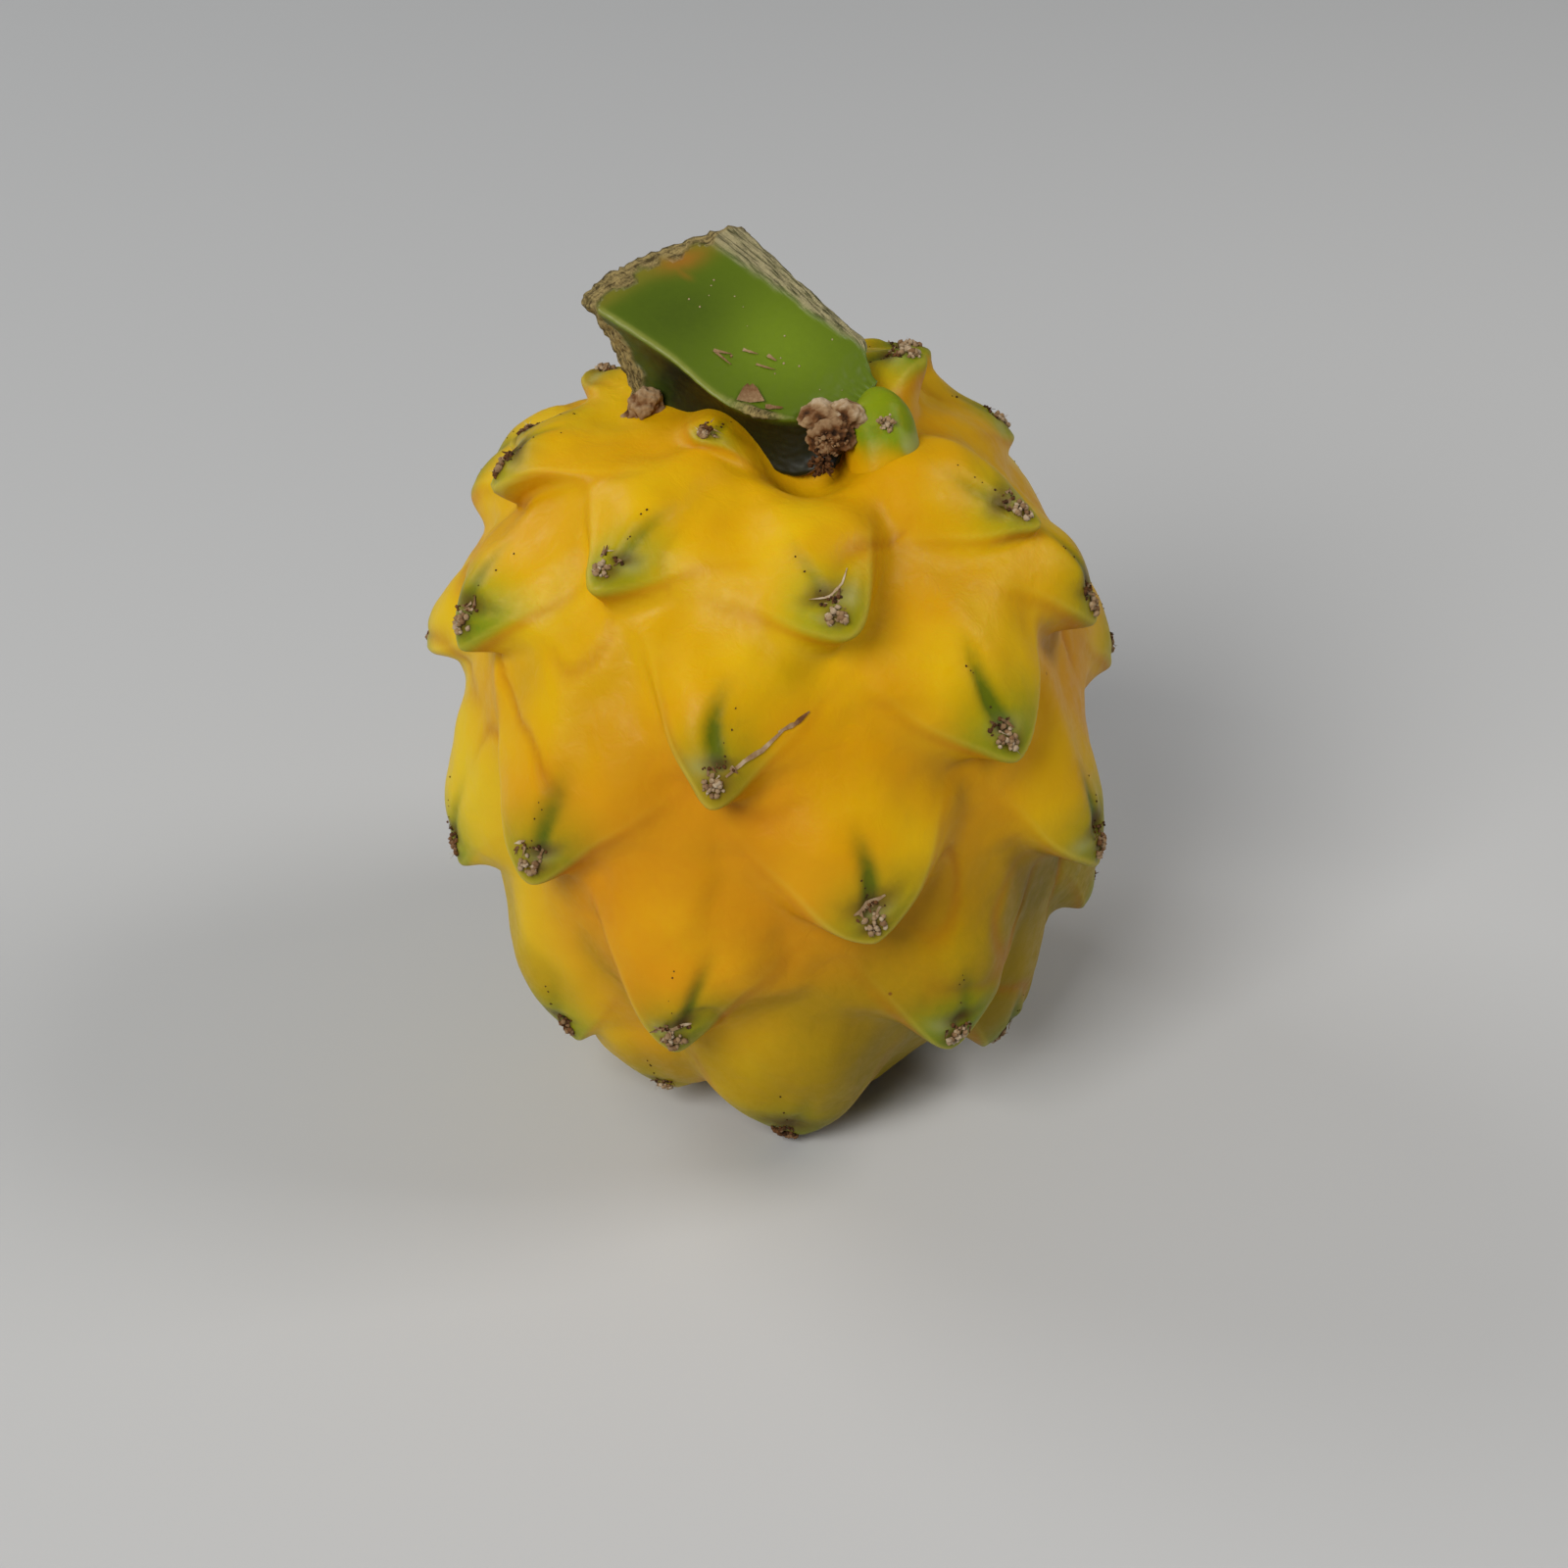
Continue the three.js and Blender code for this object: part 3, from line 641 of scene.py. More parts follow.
# Dry plant tissue: cork, wool and dead skin scatter light like chalk, pale on top and brown in the cracks
cork = {
    "dark": "#2e1c0e", "brown": "#6a4526", "tan": "#9c8160", "pale": "#c8b9a1",
    "brownAt": 0.3, "tanAt": 0.65, "toneVaries": 0.5,
    "grainSize": 0.5, "grainDepth": 0.15, "grainBump": 0.6, "roughness": 0.88, "specular": 0.2,
}


def makeCorkMaterial():
    material, tree, shader, place = startMaterial("dryCorkyTissue")
    tone = addNode(tree, "ShaderNodeAttribute", {"attribute_name": "tone"}, {})
    grit = addNode(tree, "ShaderNodeTexNoise", {}, {
        "Vector": place, "Scale": patternScale(cork["grainSize"]), "Detail": 5.0, "Roughness": 0.65})
    uneven = addNode(tree, "ShaderNodeMath", {"operation": "MULTIPLY_ADD"}, {
        0: grit.outputs["Fac"], 1: cork["toneVaries"], 2: -cork["toneVaries"] / 2})
    shade = addNode(tree, "ShaderNodeMath", {"operation": "ADD", "use_clamp": True}, {
        0: uneven.outputs[0], 1: tone.outputs["Fac"]})
    ramp = addNode(tree, "ShaderNodeValToRGB", {}, {0: shade.outputs[0]})
    stops = ramp.color_ramp.elements
    for tint in ("brown", "tan"):
        stops.new(cork[tint + "At"]).color = linearColour(cork[tint])
    stops[0].color = linearColour(cork["dark"])
    stops[-1].color = linearColour(cork["pale"])
    tree.links.new(ramp.outputs["Color"], shader.inputs["Base Color"])
    bump = addNode(tree, "ShaderNodeBump", {}, {
        "Height": grit.outputs["Fac"], "Strength": cork["grainBump"], "Distance": cork["grainDepth"] * mm})
    tree.links.new(bump.outputs["Normal"], shader.inputs["Normal"])
    shader.inputs["Roughness"].default_value = cork["roughness"]
    shader.inputs["Specular IOR Level"].default_value = cork["specular"]
    return material


corkMaterial = makeCorkMaterial()


def startLitter():
    return {"corners": [], "faces": [], "tones": []}


def addLitter(name, litter):
    data = bpy.data.meshes.new(name)
    data.from_pydata(litter["corners"], [], litter["faces"])
    piece = dressPiece(name, data, corkMaterial)
    writeMasks(piece, {"tone": litter["tones"]})
    print(name + ":", len(data.polygons), "faces")


def makeAreoles():
    litter = startLitter()
    grains, crumbs, flakes = areole["grains"], areole["crumbs"], areole["flakes"]
    for bump in tubercles:
        size = min(areole["mostSize"], areole["leastSize"] + areole["sizeWithTip"] * bump["tall"])
        browned = areole["browned"].get(bump["k"], 0.0)
        angle, share = rng.uniform(0, 2 * math.pi, grains), np.sqrt(rng.uniform(0, 1, grains))
        arc = rng.uniform(-1, 1, crumbs + flakes)
        dots = rng.uniform(0, 1, areole["dots"])
        dotsAside = rng.normal(0, areole["dotStray"], len(dots)) - areole["dotsBend"] * bump["bend"] * dots
        crumbsUp = areole["arcBend"] * arc ** 2 + rng.normal(0, areole["arcStray"], len(arc))
        padS, padT = size * areole["wide"] * np.cos(angle), size * areole["tall"] * np.sin(angle)
        s = np.concatenate([padS * share, areole["crumbArc"] * arc, dotsAside])
        t = np.concatenate([padT * share, crumbsUp - areole["crumbsAbove"],
                            -areole["dotsFrom"] - areole["dotsTo"] * dots])
        place, normal, toFlower = onRind(bump, s, t - tubercle["areoleFromLip"])
        for i in range(grains):
            radius = size * rng.uniform(*areole["grainSize"])
            lift = radius * (areole["grainLift"] + areole["middleLift"] * (1 - share[i]))
            tone = rng.uniform(*areole["grainTone"]) - browned
            addGrain(litter, place[i] + normal[i] * lift, (radius, radius, radius), tone)
        for i in range(grains, grains + crumbs):
            radius = size * rng.uniform(*areole["crumbSize"])
            centre = place[i] + normal[i] * areole["crumbLift"]
            radii = (radius, radius, areole["crumbFlat"] * radius)
            addGrain(litter, centre, radii, rng.uniform(*areole["crumbTone"]))
        for i in range(grains + crumbs, grains + crumbs + flakes):
            way = rng.normal(size=3) + areole["flakeDown"] * toFlower[i]
            way -= normal[i] * (way @ normal[i])
            length, curl = size * rng.uniform(*areole["flakeLength"]), rng.uniform(*areole["flakeCurl"])
            tone = rng.uniform(*areole["flakeTone"]) - browned
            addFlake(litter, place[i], way, normal[i], length, areole["flakeWidth"], curl, tone)
        for i in range(grains + crumbs + flakes, len(place)):
            radius = rng.uniform(*areole["dotSize"])
            addGrain(litter, place[i], (radius, radius, radius), areole["dotTone"])
        for i in rng.integers(0, grains, areole["bristles"]):
            way = normal[i] + areole["bristleDown"] * toFlower[i]
            way = way + areole["bristleStray"] * rng.normal(size=3)
            length = rng.uniform(*areole["bristleLength"])
            addBristle(litter, place[i], way, length, areole["bristleRadius"], areole["bristleTone"])
    for k, points, width, tones in tornSkin["strips"]:
        addTorn(litter, tubercles[k - spiral["first"]], points, width, tones)
    addLitter("areoles", litter)


makeAreoles()

# The stub of cactus stem, on the same three ribs as the solid: green faces, corky cut end and back rib
stub = {
    "front": ((-20.0, 6.5, 106.0), (-10.5, -1.0, 101.5), (-2.0, -8.0, 96.5), (10.0, -9.5, 94.0)),
    "keel": ((-13.5, 3.0, 89.0), (-2.0, -5.0, 87.0), (8.0, -12.0, 86.0)),
    "back": ((2.0, 18.0, 109.0), (9.5, 9.0, 103.5), (17.5, -0.5, 98.0)),
    "faceHollows": (0.3, 0.16, 0.16), "ribBlunts": (0.04, 0.16, 0.1), "taperFrom": 0.8, "taperTo": 0.7,
    "bulge": 14.0, "bulgeTo": 0.15, "sunk": 1.2, "length": 36.0, "girth": 75.0,
    "rows": 110, "faceSteps": 44, "ribSteps": 10,
    # Scale and depth of the rings that close the cut end, and scale of those that close the other
    "cutRings": ((0.02, 1.0), (0.4, 1.0), (0.72, 0.9), (0.88, 0.4), (0.96, 0.05)),
    "endRings": (0.45, 0.25, 0.02),
    "cutFront": 0.055, "cutBack": 0.022, "cutSide": 0.1, "cutEdge": (0.8, 1.1), "pith": (0.5, 0.95),
    "cutHeight": 0.5, "cutRelief": (0.3, 0.7, 0.5),
    "marginWidth": 0.19, "marginTaper": (1.15, 0.75), "marginEdge": (1.25, 0.85),
    "marginHeight": 0.45, "marginBase": 0.3, "ridgeLength": 5.0, "ridgeWidth": 0.9,
    "raggedSize": 2.2, "ragged": 0.03, "ribRagged": 0.02, "fineSize": 0.7, "fineHeight": 0.06,
    "wrinkleHeight": 0.08, "wrinkleFrom": 0.8, "wrinkles": 40.0, "wrinkleStray": 4.0,
}
# Where the colours of its skin lie: places and lengths along it, then over its top face from the front rib,
# and pairs between which a share of a rib or of the length comes up
stubPatches = {
    # The lighter patch in the middle of the top face is a painted highlight
    "stain": (0.055, 0.035, 0.6, 0.13), "deep": (0.22, 0.2, 0.3, 0.4), "highlightPatch": (0.55, 0.3, 0.55, 0.33),
    "topEdge": (0.1, 0.2), "frontEdge": (0.03, 0.1), "frontEnd": (0.12, 0.3),
    "tear": (0.74, 0.09), "tearRib": (0.94, 0.975), "lipRib": (0.955, 0.985), "lipFrom": (0.02, 0.1),
    "drip": (0.53, 0.022), "dripEnd": (0.1, 0.14), "dripShare": 0.6, "edgeWidth": 0.03,
    "darkFrom": (0.1, 0.3), "darkKeel": (0.06, 0.2), "darkRagged": 0.05,
}


def ribPoint(points, along):
    points = np.array(points)
    last = len(points) - 1
    x = np.clip(along, 0, 1) * last
    i = np.minimum(x.astype(int), last - 1)
    x = (x - i)[:, None]
    ends = np.vstack([2 * points[0] - points[1], points, 2 * points[-1] - points[-2]])
    a, b, c, d = ends[i], ends[i + 1], ends[i + 2], ends[i + 3]
    return b + 0.5 * x * (c - a + x * (2 * a - 5 * b + 4 * c - d + x * (3 * b - a - 3 * c + d)))


# Shares of the front rib, the keel and the back rib at each point round the section
def sectionShares():
    angles = (math.pi / 2 + i * 2 * math.pi / 3 for i in range(3))
    corners = [np.array([math.cos(a), math.sin(a)]) for a in angles]

    def bow(a, b, c, steps):
        x = np.linspace(0, 1, steps, endpoint=False)[:, None]
        return (1 - x) ** 2 * a + 2 * x * (1 - x) * b + x ** 2 * c

    outline = []
    for i in range(3):
        corner, after, last = corners[i], corners[(i + 1) % 3], corners[(i + 2) % 3]
        blunt, bluntAfter = stub["ribBlunts"][i], stub["ribBlunts"][(i + 1) % 3]
        start, end = corner + blunt * (after - corner), after + bluntAfter * (corner - after)
        outline.append(bow(start, (start + end) / 2 * (1 - stub["faceHollows"][i]), end, stub["faceSteps"]))
        outline.append(bow(end, after, after + bluntAfter * (last - after), stub["ribSteps"]))
    outline = np.vstack(outline)
    return np.column_stack([(1 + 2 * outline @ corner) / 3 for corner in corners])


# Where the skin changes: shares of the three ribs, and how far along the stub each point lies
def stubMasks(weights, along, around, rough):
    front, keel, back = weights.T
    across = back / np.maximum(front + back, 0.01)
    ragged = stub["ribRagged"] * rough

    def patch(name):
        far, length, over, width = stubPatches[name]
        return hill((along - far) / length) * hill((across - over) / width)

    onTop = 1 - smooth(*stubPatches["topEdge"], keel)
    onFront = smooth(*stubPatches["frontEdge"], keel) * (1 - smooth(*stubPatches["frontEnd"], back))
    strip = stub["cutFront"] * (1 - across) + stub["cutBack"] * across
    strip = strip * onTop + stub["cutSide"] * (1 - onTop)
    cut = 1 - smooth(*stub["cutEdge"], (along + stub["ragged"] * rough) / strip)
    far, length = stubPatches["tear"]
    tear = smooth(*stubPatches["tearRib"], front + ragged) * hill((along - far) / length)
    widest, narrows = stub["marginTaper"]
    marginWidth = stub["marginWidth"] * (widest - narrows * along)
    outer, inner = (1 - edge * marginWidth for edge in stub["marginEdge"])
    over, width = stubPatches["drip"]
    drip = hill((across - over) / width) * (1 - smooth(*stubPatches["dripEnd"], along))
    # Painted shadow on the front face, deepest towards the keel and away from the cut end
    dark = smooth(*stubPatches["darkFrom"], along + stubPatches["darkRagged"] * rough)
    return {
        "cut": np.maximum(cut, tear), "margin": smooth(outer, inner, back + ragged),
        "lip": smooth(*stubPatches["lipRib"], front) * smooth(*stubPatches["lipFrom"], along) * (1 - tear),
        "stain": np.maximum(patch("stain"), stubPatches["dripShare"] * drip) * onTop,
        "edge": onTop * hill((along - strip) / stubPatches["edgeWidth"]) * (1 - cut),
        # The lighter patch on the top face is a painted highlight
        "deep": onTop * patch("deep"), "highlightPatch": onTop * patch("highlightPatch"),
        # The whole front face is dimmed with painted shade, with a darker painted shadow in its hollow
        "dim": onFront, "dark": onFront * dark * smooth(*stubPatches["darkKeel"], keel),
        "lengthwise": along * stub["length"], "crosswise": around * stub["girth"],
    }


def makeStub():
    shares = sectionShares()
    steps = len(shares)
    rings = [(0.0, scale, depth) for scale, depth in stub["cutRings"]]
    firstRow = len(rings)
    for far in np.linspace(0, 1, stub["rows"]):
        rings.append((far, 1 - (1 - stub["taperTo"]) * float(smooth(stub["taperFrom"], 1, far)), 0.0))
    rings += [(1.0, scale, 0.0) for scale in stub["endRings"]]
    along, scale, sunk = (np.repeat(column, steps) for column in zip(*rings))
    around = np.tile(np.linspace(0, 1, steps, endpoint=False), len(rings))
    weights = 1 / 3 + scale[:, None] * (np.tile(shares, (len(rings), 1)) - 1 / 3)
    names = ("front", "keel", "back")
    place = sum(weights[:, i:i + 1] * ribPoint(stub[name], along) for i, name in enumerate(names))
    lengthWay = unit(sum(np.array(stub[name][-1]) - stub[name][0] for name in names)[None])
    bulge = stub["bulge"] * np.maximum(weights[:, 0] * weights[:, 2], 0)
    bulge = bulge * np.maximum(1 - along / stub["bulgeTo"], 0)
    place += lengthWay * (stub["sunk"] * sunk - bulge)[:, None]
    mesh = bmesh.new()
    verts = [mesh.verts.new(spot * mm) for spot in place]
    for row in range(len(rings) - 1):
        for i in range(steps):
            j = (i + 1) % steps
            mesh.faces.new([verts[row * steps + i], verts[row * steps + j],
                            verts[(row + 1) * steps + j], verts[(row + 1) * steps + i]])
    mesh.faces.new(verts[:steps][::-1])
    mesh.faces.new(verts[-steps:])
    bmesh.ops.recalc_face_normals(mesh, faces=mesh.faces)
    mesh.normal_update()
    rough = noiseAt(place, stub["raggedSize"])
    fine = noiseAt(place, stub["fineSize"])
    masks = stubMasks(weights, along, around, rough)
    masks["pith"] = smooth(*stub["pith"], sunk)
    lengthwise = masks["lengthwise"] / stub["ridgeLength"]
    crosswise = masks["crosswise"] / stub["ridgeWidth"]
    ridges = noiseAt(np.column_stack([lengthwise, crosswise, 0 * along]), 1.0)
    wrinkle = np.sin(stub["wrinkles"] * (weights[:, 0] - weights[:, 2]) + stub["wrinkleStray"] * rough)
    wrinkle = wrinkle * smooth(stub["wrinkleFrom"], 1.0, along)
    flat, byFine, byRough = stub["cutRelief"]
    lift = stub["cutHeight"] * masks["cut"] * (flat + byFine * fine + byRough * rough)
    lift += stub["marginHeight"] * masks["margin"] * (stub["marginBase"] + ridges)
    lift += stub["wrinkleHeight"] * wrinkle + stub["fineHeight"] * fine
    normals = np.array([v.normal for v in verts])
    place += normals * lift[:, None]
    moveVerts(verts, place)
    piece = addPiece("stubSkin", mesh, makeStubMaterial())
    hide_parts("stem")
    writeMasks(piece, masks)
    print("stub:", len(piece.data.polygons), "faces")

    # A spot on the top face, from the cut end to the far one and from the front rib to the back rib
    def topSpot(far, over):
        row = firstRow + round(far * (stub["rows"] - 1))
        column = 2 * (stub["faceSteps"] + stub["ribSteps"]) + round((1 - over) * (stub["faceSteps"] - 1))
        return place[row * steps + column], normals[row * steps + column]

    return topSpot


# Fresh cactus skin: smooth and waxed, with a soft sheen on the green and none on the dried tan edges
stubSkin = {
    # The lighter top-face patch is a painted highlight; the dim and dark front-face colours are painted
    # shade
    "green": "#556a0c", "highlightPatch": "#6c8416", "deep": "#41540a", "edge": "#7a7420", "dim": "#34400f",
    "dark": "#12150a", "lip": "#868c3c", "stain": "#97661c", "pith": "#8a7a48",
    "marginDark": "#47452a", "marginPale": "#a79d78", "marginFrom": 0.38, "marginTo": 0.56,
    "cutDark": "#4a3d1e", "cutPale": "#a3905c", "cutFrom": 0.82, "cutTo": 1.12,
    # Masks from the lowest layer up, and how much of each shows
    "layers": (
        ("highlightPatch", 0.95), ("deep", 0.8), ("edge", 0.75), ("dim", 0.9), ("dark", 0.95), ("lip", 0.8),
        ("stain", 0.9), ("margin", 0.95), ("cut", 1.0), ("pith", 0.8),
    ),
    "fibreLength": 4.0, "fibreWidth": 0.4, "crackSize": 0.9, "crackDepth": 0.4, "crackBump": 0.9,
    "freckleSize": 0.9, "freckleDepth": 0.1, "freckleBump": 0.12, "fray": 0.6,
    "roughness": 0.4, "dryRoughness": 0.9, "specular": 0.4,
}


def makeStubMaterial():
    material, tree, shader, place = startMaterial("freshCactusSkin")
    freckles = addNode(tree, "ShaderNodeTexNoise", {}, {
        "Vector": place, "Scale": patternScale(stubSkin["freckleSize"]), "Detail": 5.0, "Roughness": 0.65})
    lengthwise = addNode(tree, "ShaderNodeAttribute", {"attribute_name": "lengthwise"}, {})
    crosswise = addNode(tree, "ShaderNodeAttribute", {"attribute_name": "crosswise"}, {})
    runs = addNode(tree, "ShaderNodeCombineXYZ", {}, {
        "X": lengthwise.outputs["Fac"], "Y": crosswise.outputs["Fac"]}).outputs["Vector"]
    # Dead fibres run along the back rib, and across the stem at its cut end
    fibre = (stubSkin["fibreLength"], stubSkin["fibreWidth"])
    fibres = []
    for scale in (fibre, fibre[::-1]):
        drawn = addNode(tree, "ShaderNodeMapping", {"vector_type": "TEXTURE"}, {
            "Vector": runs, "Scale": (*scale, 1.0)})
        fibres.append(addNode(tree, "ShaderNodeTexNoise", {}, {
            "Vector": drawn.outputs["Vector"], "Scale": 1.0, "Detail": 4.0, "Roughness": 0.6,
            "Distortion": 0.4}).outputs["Fac"])
    cracks = addNode(tree, "ShaderNodeTexNoise", {}, {
        "Vector": place, "Scale": patternScale(stubSkin["crackSize"]), "Detail": 5.0, "Roughness": 0.7,
        "Distortion": 1.0})
    cutMix = addNode(tree, "ShaderNodeMath", {"operation": "ADD"}, {
        0: cracks.outputs["Fac"], 1: fibres[1]}).outputs[0]
    dryTints, dryShares = {}, {}
    for name, value in (("margin", fibres[0]), ("cut", cutMix)):
        contrast = addNode(tree, "ShaderNodeMapRange", {}, {
            "Value": value, "From Min": stubSkin[name + "From"], "From Max": stubSkin[name + "To"]})
        dark, pale = linearColour(stubSkin[name + "Dark"]), linearColour(stubSkin[name + "Pale"])
        dryTints[name] = addNode(tree, "ShaderNodeMix", {"data_type": "RGBA"}, {
            0: contrast.outputs["Result"], 6: dark, 7: pale}).outputs[2]
    frayed = addNode(tree, "ShaderNodeMath", {"operation": "MULTIPLY_ADD"}, {
        0: freckles.outputs["Fac"], 1: stubSkin["fray"], 2: -stubSkin["fray"] / 2})
    base = linearColour(stubSkin["green"])
    for name, most in stubSkin["layers"]:
        tint = dryTints.get(name) or linearColour(stubSkin[name])
        base, share = addLayer(tree, base, frayed, name, most, tint)
        if name in dryTints:
            dryShares[name] = share
    tree.links.new(base, shader.inputs["Base Color"])
    dry = addNode(tree, "ShaderNodeMath", {"operation": "MAXIMUM"}, {
        0: dryShares["margin"], 1: dryShares["cut"]}).outputs[0]
    gloss = addNode(tree, "ShaderNodeMapRange", {}, {
        "Value": dry, "To Min": stubSkin["roughness"], "To Max": stubSkin["dryRoughness"]})
    tree.links.new(gloss.outputs["Result"], shader.inputs["Roughness"])
    coarse = addNode(tree, "ShaderNodeMath", {"operation": "MULTIPLY"}, {0: cutMix, 1: dry})
    low = addNode(tree, "ShaderNodeBump", {}, {
        "Height": coarse.outputs[0], "Strength": stubSkin["crackBump"],
        "Distance": stubSkin["crackDepth"] * mm})
    bump = addNode(tree, "ShaderNodeBump", {}, {
        "Height": freckles.outputs["Fac"], "Strength": stubSkin["freckleBump"],
        "Distance": stubSkin["freckleDepth"] * mm, "Normal": low.outputs["Normal"]})
    tree.links.new(bump.outputs["Normal"], shader.inputs["Normal"])
    shader.inputs["Specular IOR Level"].default_value = stubSkin["specular"]
    return material


onTopFace = makeStub()

# Dry lumps on the stub: the woolly knob on its front rib, the dark crumbs under it
# and the brown end of its keel
lumps = {
    "knobs": (
        {"centre": (7.9, -9.3, 95.2), "radii": (2.7, 2.2, 1.5), "lump": 2.4, "height": 0.9, "tone": 0.6},
        {"centre": (11.1, -9.2, 95.0), "radii": (2.3, 2.2, 1.7), "lump": 2.0, "height": 0.9, "tone": 0.56},
        {"centre": (9.2, -10.8, 93.0), "radii": (2.9, 1.8, 2.3), "lump": 1.2, "height": 0.9, "tone": 0.32},
        {"centre": (-13.2, 1.0, 93.9), "radii": (2.1, 1.5, 2.0), "lump": 1.6, "height": 0.8, "tone": 0.46},
        {"centre": (-14.1, 1.6, 91.6), "radii": (2.0, 1.6, 2.2), "lump": 1.9, "height": 0.8, "tone": 0.4},
    ),
    # Painted shade darkens the hollows of each knob
    "knobLevel": 5, "hollowShade": 0.8, "mostHollow": 0.25, "lowerTone": 0.25,
    "swellings": ((1.0, 1.0), (0.45, 0.45), (0.2, 0.2)),  # size and height, as shares of the knob's own
    # Heaps of grains: middle, radii, how many, size and tone
    "heaps": (
        ((15.9, -11.5, 94.5), (1.1, 0.6, 1.5), 40, (0.2, 0.42), 0.72),
        ((9.0, -12.2, 92.8), (2.2, 1.0, 1.8), 60, (0.15, 0.4), 0.42),
        ((7.8, -12.6, 90.4), (1.6, 1.0, 2.0), 50, (0.2, 0.5), 0.16),
        ((-5.6, -9.6, 95.0), (1.2, 0.7, 0.8), 12, (0.2, 0.4), 0.25),
    ),
    "heapFill": (0.35, 0.95), "grainShape": (1.0, 0.8, 0.9), "toneVaries": 0.14,
    "spikes": (((8.6, -11.4, 93.0), 10, 0.6), ((7.8, -12.6, 90.2), 12, 0.25), ((-5.6, -9.8, 95.2), 4, 0.6)),
    "spikeLength": (0.8, 2.0), "spikeRadius": 0.1, "spikeWay": (0.0, -0.8, -0.2),
    # Strips and a torn flap on the top face: from, to, width and tone
    "strips": (
        ((0.43, 0.22), (0.49, 0.29), 0.4, 0.62), ((0.43, 0.22), (0.52, 0.21), 0.35, 0.55),
        ((0.49, 0.29), (0.5, 0.26), 0.35, 0.55), ((0.5, 0.38), (0.55, 0.43), 0.45, 0.7),
        ((0.58, 0.46), (0.62, 0.46), 0.5, 0.66), ((0.58, 0.35), (0.65, 0.39), 0.35, 0.6),
        ((0.69, 0.02), (0.63, 0.17), 2.8, 0.55), ((0.74, 0.02), (0.8, 0.04), 0.7, 0.5),
    ),
    "stripCurl": 0.05, "dots": 16, "dotsOver": (0.12, 0.92), "dotSize": (0.07, 0.16), "dotTone": 0.75,
}


# A lump of wool and cork, swollen unevenly, with painted shade in its hollows and darker towards its bottom
def addKnob(litter, knob):
    corners, faces = plainBall(lumps["knobLevel"])
    corners = corners * np.array(knob["radii"])
    swollen = sum(share * noiseAt(corners + knob["centre"], size * knob["lump"])
                  for size, share in lumps["swellings"])
    place = np.array(knob["centre"]) + corners + unit(corners) * (knob["height"] * swollen)[:, None]
    below = smooth(0, 1, (knob["centre"][2] - place[:, 2]) / knob["radii"][2])
    tones = knob["tone"] + lumps["hollowShade"] * np.minimum(swollen, lumps["mostHollow"])
    addFaces(litter, place, faces, tones - lumps["lowerTone"] * below)


def makeLumps():
    litter = startLitter()
    for knob in lumps["knobs"]:
        addKnob(litter, knob)
    for middle, radii, grains, grainSize, tone in lumps["heaps"]:
        for _ in range(grains):
            way = unit(rng.normal(size=(1, 3)))[0]
            centre = np.array(middle) + way * np.array(radii) * rng.uniform(*lumps["heapFill"])
            grainRadii = rng.uniform(*grainSize) * np.array(lumps["grainShape"])
            grainTone = tone + rng.uniform(-lumps["toneVaries"], lumps["toneVaries"])
            addGrain(litter, centre, grainRadii, grainTone)
    for centre, count, tone in lumps["spikes"]:
        for _ in range(count):
            way = unit(rng.normal(size=(1, 3)) + np.array(lumps["spikeWay"]))[0]
            length = rng.uniform(*lumps["spikeLength"])
            addBristle(litter, np.array(centre) + way, way, length, lumps["spikeRadius"], tone)
    for start, end, width, tone in lumps["strips"]:
        foot, normal = onTopFace(*start)
        way = onTopFace(*end)[0] - foot
        addFlake(litter, foot, way, normal, np.linalg.norm(way), width, lumps["stripCurl"], tone)
    for far, over in rng.uniform(*lumps["dotsOver"], (lumps["dots"], 2)):
        radius = rng.uniform(*lumps["dotSize"])
        addGrain(litter, onTopFace(far, over)[0], (radius, radius, radius), lumps["dotTone"])
    addLitter("dryLumps", litter)


makeLumps()

# Camera of the photograph, which looks down on the fruit's front
camera = {
    "elevation": 31.0, "roll": -4.5, "away": 400.0, "focal": 3100.0, "centre": (794, 745), "frame": 1600,
    "sensor": 36.0,
}


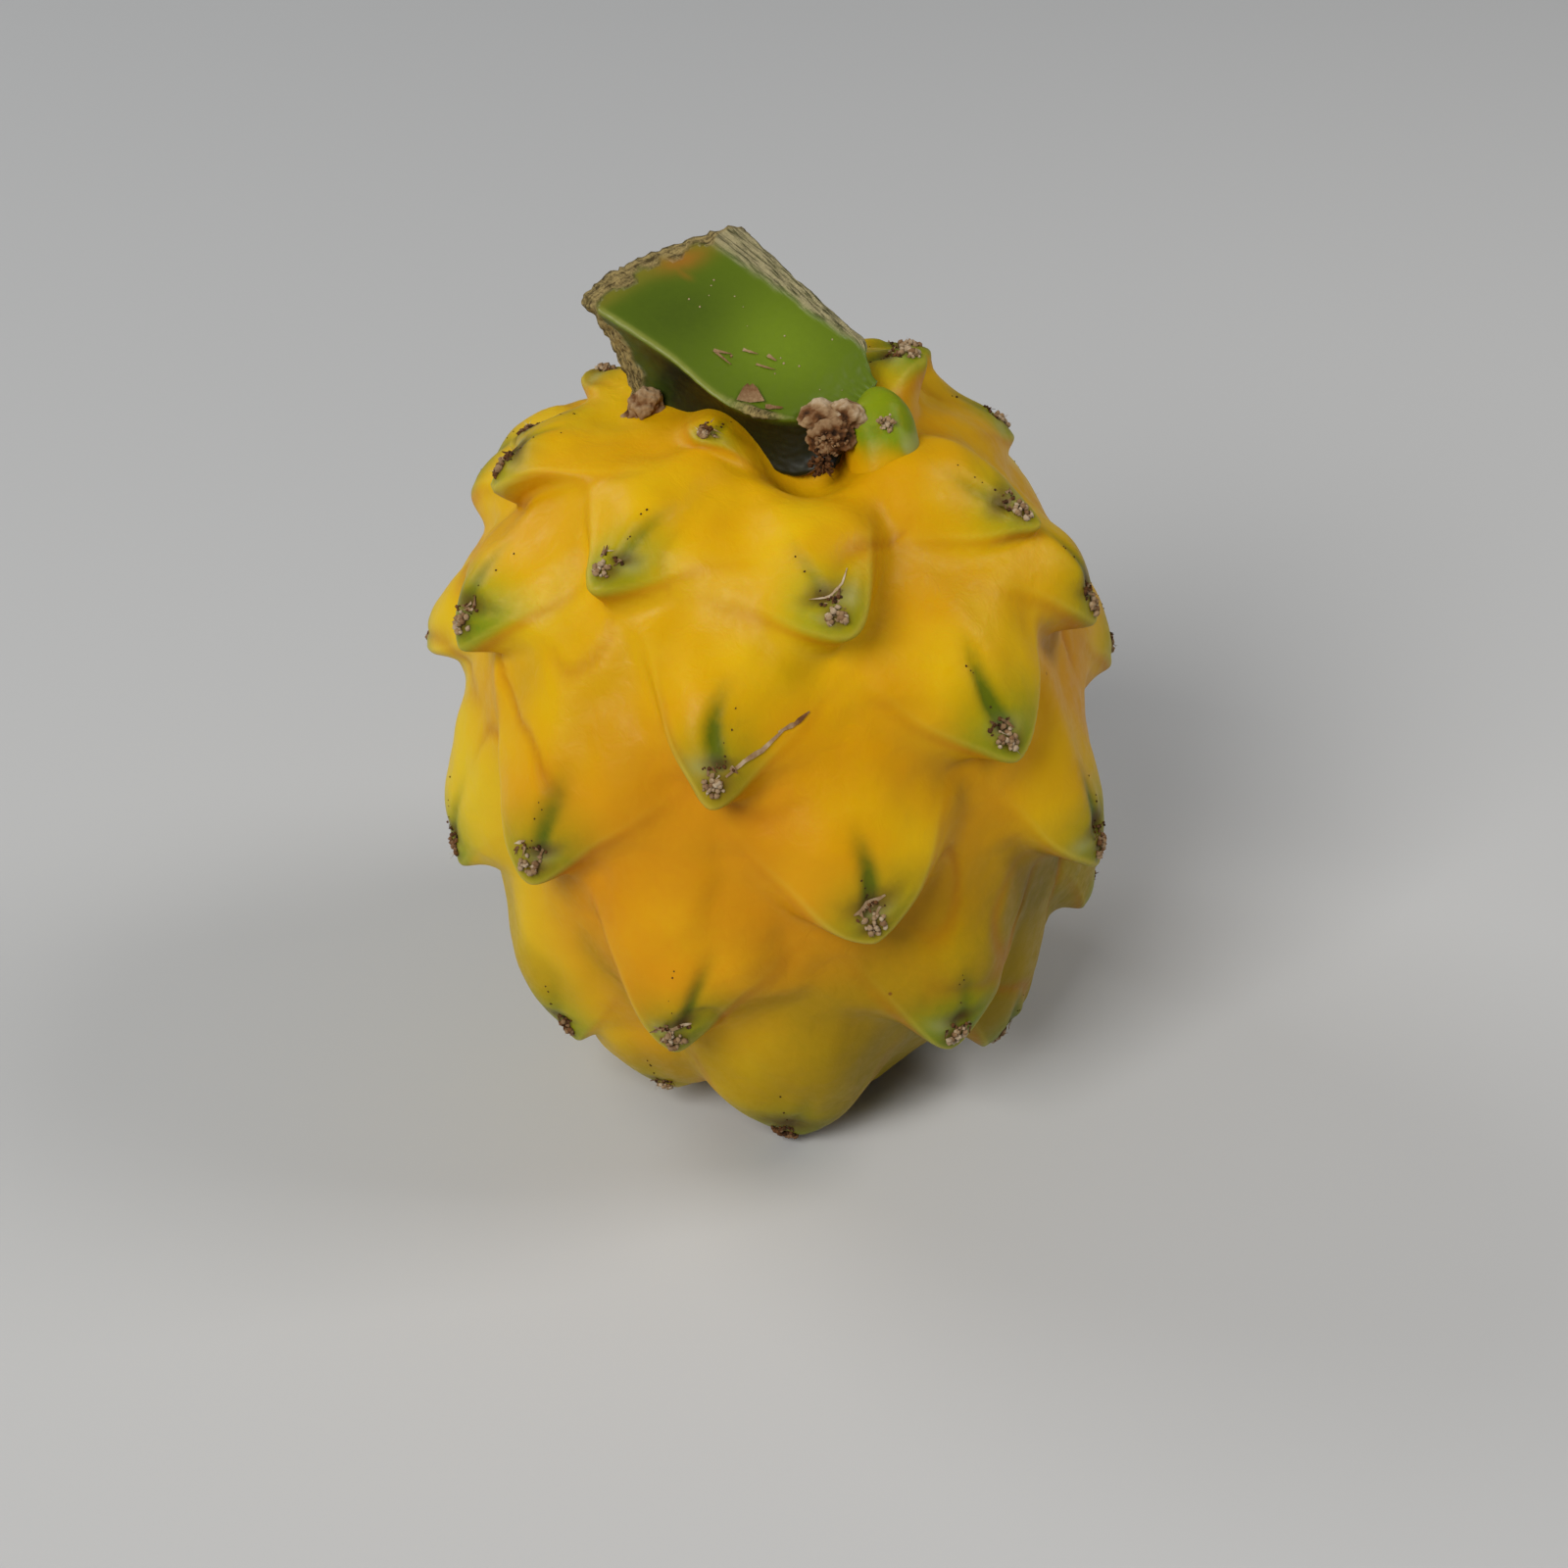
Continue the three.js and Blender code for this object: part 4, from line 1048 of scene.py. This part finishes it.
def makeCamera():
    elevation, roll = math.radians(camera["elevation"]), math.radians(camera["roll"])
    forward = Vector((0, math.cos(elevation), -math.sin(elevation)))
    middle = Vector((0, 0, body["middle"]))
    eye = middle - forward * camera["away"]
    level = Vector((1, 0, 0))
    upright = level.cross(forward)
    right = level * math.cos(roll) + upright * math.sin(roll)
    up = upright * math.cos(roll) - level * math.sin(roll)
    perPixel = camera["away"] / camera["focal"]
    aside, down = (perPixel * (camera["frame"] / 2 - middlePixel) for middlePixel in camera["centre"])
    target = middle + right * aside - up * down
    lens = bpy.data.cameras.new("camera")
    lens.sensor_width = camera["sensor"]
    lens.lens = camera["focal"] / camera["frame"] * camera["sensor"]
    view = bpy.data.objects.new("camera", lens)
    view.location = eye * mm
    view.rotation_mode = "QUATERNION"
    view.rotation_quaternion = (target - eye).to_track_quat("-Z", "Y") @ Quaternion((0, 0, 1), roll)
    bpy.context.scene.collection.objects.link(view)
    bpy.context.scene.camera = view
    print("camera ready")


makeCamera()

# A pale seamless sheet of matt paper, which spreads light evenly, in a dim room with three soft boxes:
# a large key in front on the left, a small one on the right and one behind on the left
studio = {
    "floor": "#c0c3c7", "floorSize": 6.0, "floorRoughness": 0.9, "room": "#c3c9d2", "roomStrength": 0.16,
    "lights": (
        ("key", (-0.66, -1.0, 1.05), 19.0, 0.8, "#fffaf2"),
        ("kicker", (0.6, -0.05, 0.65), 2.4, 0.3, "#fff8ee"),
        ("back", (-0.95, 0.75, 0.9), 6.0, 0.7, "#fffdf8"),
    ),
}


def makeStudio():
    sheet = bmesh.new()
    bmesh.ops.create_grid(sheet, x_segments=1, y_segments=1, size=studio["floorSize"] / 2)
    data = bpy.data.meshes.new("floor")
    sheet.to_mesh(data)
    sheet.free()
    material, _, shader, _ = startMaterial("mattePaperBackdrop")
    shader.inputs["Base Color"].default_value = linearColour(studio["floor"])
    shader.inputs["Roughness"].default_value = studio["floorRoughness"]
    data.materials.append(material)
    floor = bpy.data.objects.new("floor", data)
    bpy.context.scene.collection.objects.link(floor)
    world = bpy.data.worlds.new("room")
    world.use_nodes = True
    background = world.node_tree.nodes["Background"]
    background.inputs["Color"].default_value = linearColour(studio["room"])
    background.inputs["Strength"].default_value = studio["roomStrength"]
    bpy.context.scene.world = world
    for name, spot, power, size, tint in studio["lights"]:
        lamp = bpy.data.lights.new(name, "AREA")
        lamp.energy = power
        lamp.size = size
        lamp.color = linearColour(tint)[:3]
        light = bpy.data.objects.new(name, lamp)
        light.location = spot
        aim = Vector((0, 0, body["middle"] * mm)) - light.location
        light.rotation_euler = aim.to_track_quat("-Z", "Y").to_euler()
        bpy.context.scene.collection.objects.link(light)
    bpy.context.scene.view_settings.view_transform = "Standard"
    print("studio ready")


makeStudio()

bpy.context.view_layer.update()
